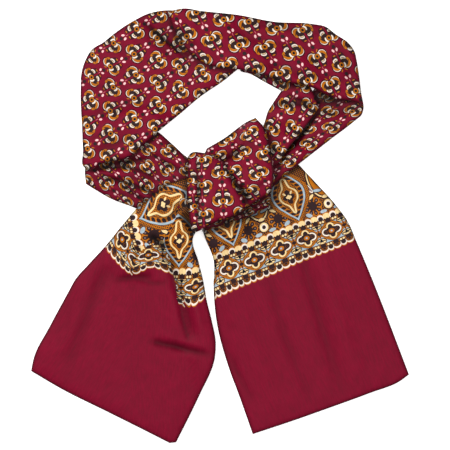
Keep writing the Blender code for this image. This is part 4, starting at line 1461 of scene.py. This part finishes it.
def shade_folds(mesh, piece, means):
    """Keeps the painted shade at each point: darker in folds, beside laps and at rims, lighter on
    ridges.
    """
    places = vertex_values(mesh, "co") / MM
    flat = places[:, :2]
    height = places[:, 2]
    folds = folds_of(piece)
    widths = np.array([fold.width for fold in folds]).reshape(-1, 1)
    steep = fold_lifts(flat, folds) / widths / STEEP_FOLD
    trough = -steep.min(axis=0, initial=0)
    trough *= PLY_TROUGH if piece.kind == "ply" else FOLDED_TROUGH
    ridge = np.clip(steep.max(axis=0, initial=0), 0, 1)
    lap = np.clip((read_map(means[LAP_REACH], flat) - height) / LAP_DEPTH, 0, 1)
    seam = np.clip((read_map(means[SEAM_REACH], flat) - height) / SEAM_DEPTH, 0, 1)
    near = read_map(means[RIM_LAP_REACH], flat)
    on_cloth = np.clip((near / np.maximum(height, THIN_CLOTH) - RIM_LOW) / RIM_SPAN, 0, 1)
    away = distance_to(flat, edge_line(piece.edge, EDGE_STEP), closed=True)
    rim = np.exp(-((away / RIM_REACH) ** 2)) * (RIM_ON_FLOOR + RIM_ON_CLOTH * on_cloth)
    # Painted shade in troughs, beside laps, in seams and at rims, and a painted highlight on
    # ridges.
    shade = 1 - np.minimum(trough, DARKEST_TROUGH) + RIDGE_PAINTED_HIGHLIGHT * ridge
    shade *= (1 - LAP_SHADE * lap) * (1 - SEAM_SHADE * seam) * (1 - rim)
    up = vertex_values(mesh, "normal")[:, 2]
    shade = 1 - (1 - shade) * np.clip(up * FACING_SLOPE + FACING_START, 0, 1)
    kept = mesh.attributes.new(SHADE_MAP, "FLOAT", "POINT")
    kept.data.foreach_set("value", shade.astype(np.float32))


def dress(obj, piece, materials):
    slot = BORDERED if piece.kind == "ply" else FLOWERED
    obj.data.materials.append(materials[slot])
    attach(obj, "root")
    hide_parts(piece.name)


def build_scarf():
    materials = {
        FLOWERED: twill_material("flowered twill", FLOWER_GROUP, FLOWER_SCALE),
        BORDERED: twill_material("bordered twill", BORDER_GROUP, BORDER_SCALE),
    }
    xs, ys = map_axes()
    heights = np.zeros((len(ys), len(xs)))
    laid = []
    for piece in LAY_ORDER:
        obj, heights = lay_piece(piece, heights)
        laid.append((obj, piece))
    reaches = (LAP_REACH, SEAM_REACH, RIM_LAP_REACH)
    means = {reach: mean_map(heights, reach) for reach in reaches}
    for obj, piece in laid:
        shade_folds(obj.data, piece, means)
        dress(obj, piece, materials)


# The photograph is taken from straight above. Its 450 pixels span VIEW_WIDTH metres.
VIEW_WIDTH = 0.585
VIEW_MIDDLE = (0.0065, 0.0013)
CAMERA_HEIGHT = 3.6
SENSOR_WIDTH = 36.0
FARTHEST_SEEN = 20.0


def set_camera():
    data = bpy.data.cameras.new("camera")
    data.sensor_width = SENSOR_WIDTH
    data.sensor_fit = "HORIZONTAL"
    data.lens = SENSOR_WIDTH * CAMERA_HEIGHT / VIEW_WIDTH
    data.clip_end = FARTHEST_SEEN
    camera = add_object("camera", data)
    camera.location = (*VIEW_MIDDLE, CAMERA_HEIGHT)
    bpy.context.scene.camera = camera


# Each lamp is a soft square panel: its place, its size and power, and its warmth.
Lamp = namedtuple("Lamp", "name x y z size power colour")
LAMPS = [
    Lamp("key", -1.3, 1.1, 1.9, 0.9, 46.0, (1.0, 0.985, 0.97)),
    Lamp("top", 0.3, -0.2, 3.2, 1.8, 54.0, (1.0, 1.0, 1.0)),
]
SKY_STRENGTH = 0.42

# The floor glows a little, so that the shadows nearly vanish, as in the photograph.
FLOOR_HALF = 3.0
FLOOR_DROP = 0.0006
FLOOR_LOOK = {
    "Base Color": (0.94, 0.94, 0.94, 1.0),
    "Roughness": 0.9,
    "Emission Color": (1.0, 1.0, 1.0, 1.0),
    "Emission Strength": 0.45,
}


def set_lamps():
    for lamp in LAMPS:
        data = bpy.data.lights.new(lamp.name, "AREA")
        data.size = lamp.size
        data.energy = lamp.power
        data.color = lamp.colour
        obj = add_object(lamp.name, data)
        obj.location = (lamp.x, lamp.y, lamp.z)
        aim = -obj.location
        obj.rotation_euler = aim.to_track_quat("-Z", "Y").to_euler()
    world = bpy.data.worlds.new("studio")
    world.use_nodes = True
    sky = world.node_tree.nodes["Background"]
    sky.inputs["Color"].default_value = (1.0, 1.0, 1.0, 1.0)
    sky.inputs["Strength"].default_value = SKY_STRENGTH
    bpy.context.scene.world = world
    bpy.context.scene.view_settings.view_transform = "Standard"


def set_floor():
    half = FLOOR_HALF
    corners = [(-half, -half), (half, -half), (half, half), (-half, half)]
    mesh = bpy.data.meshes.new("floor")
    mesh.from_pydata([(x, y, -FLOOR_DROP) for x, y in corners], [], [(0, 1, 2, 3)])
    floor = add_object("floor", mesh)
    floor.data.materials.append(new_material("pale floor", FLOOR_LOOK)[0])


set_camera()
set_lamps()
set_floor()
build_scarf()

bpy.context.view_layer.update()
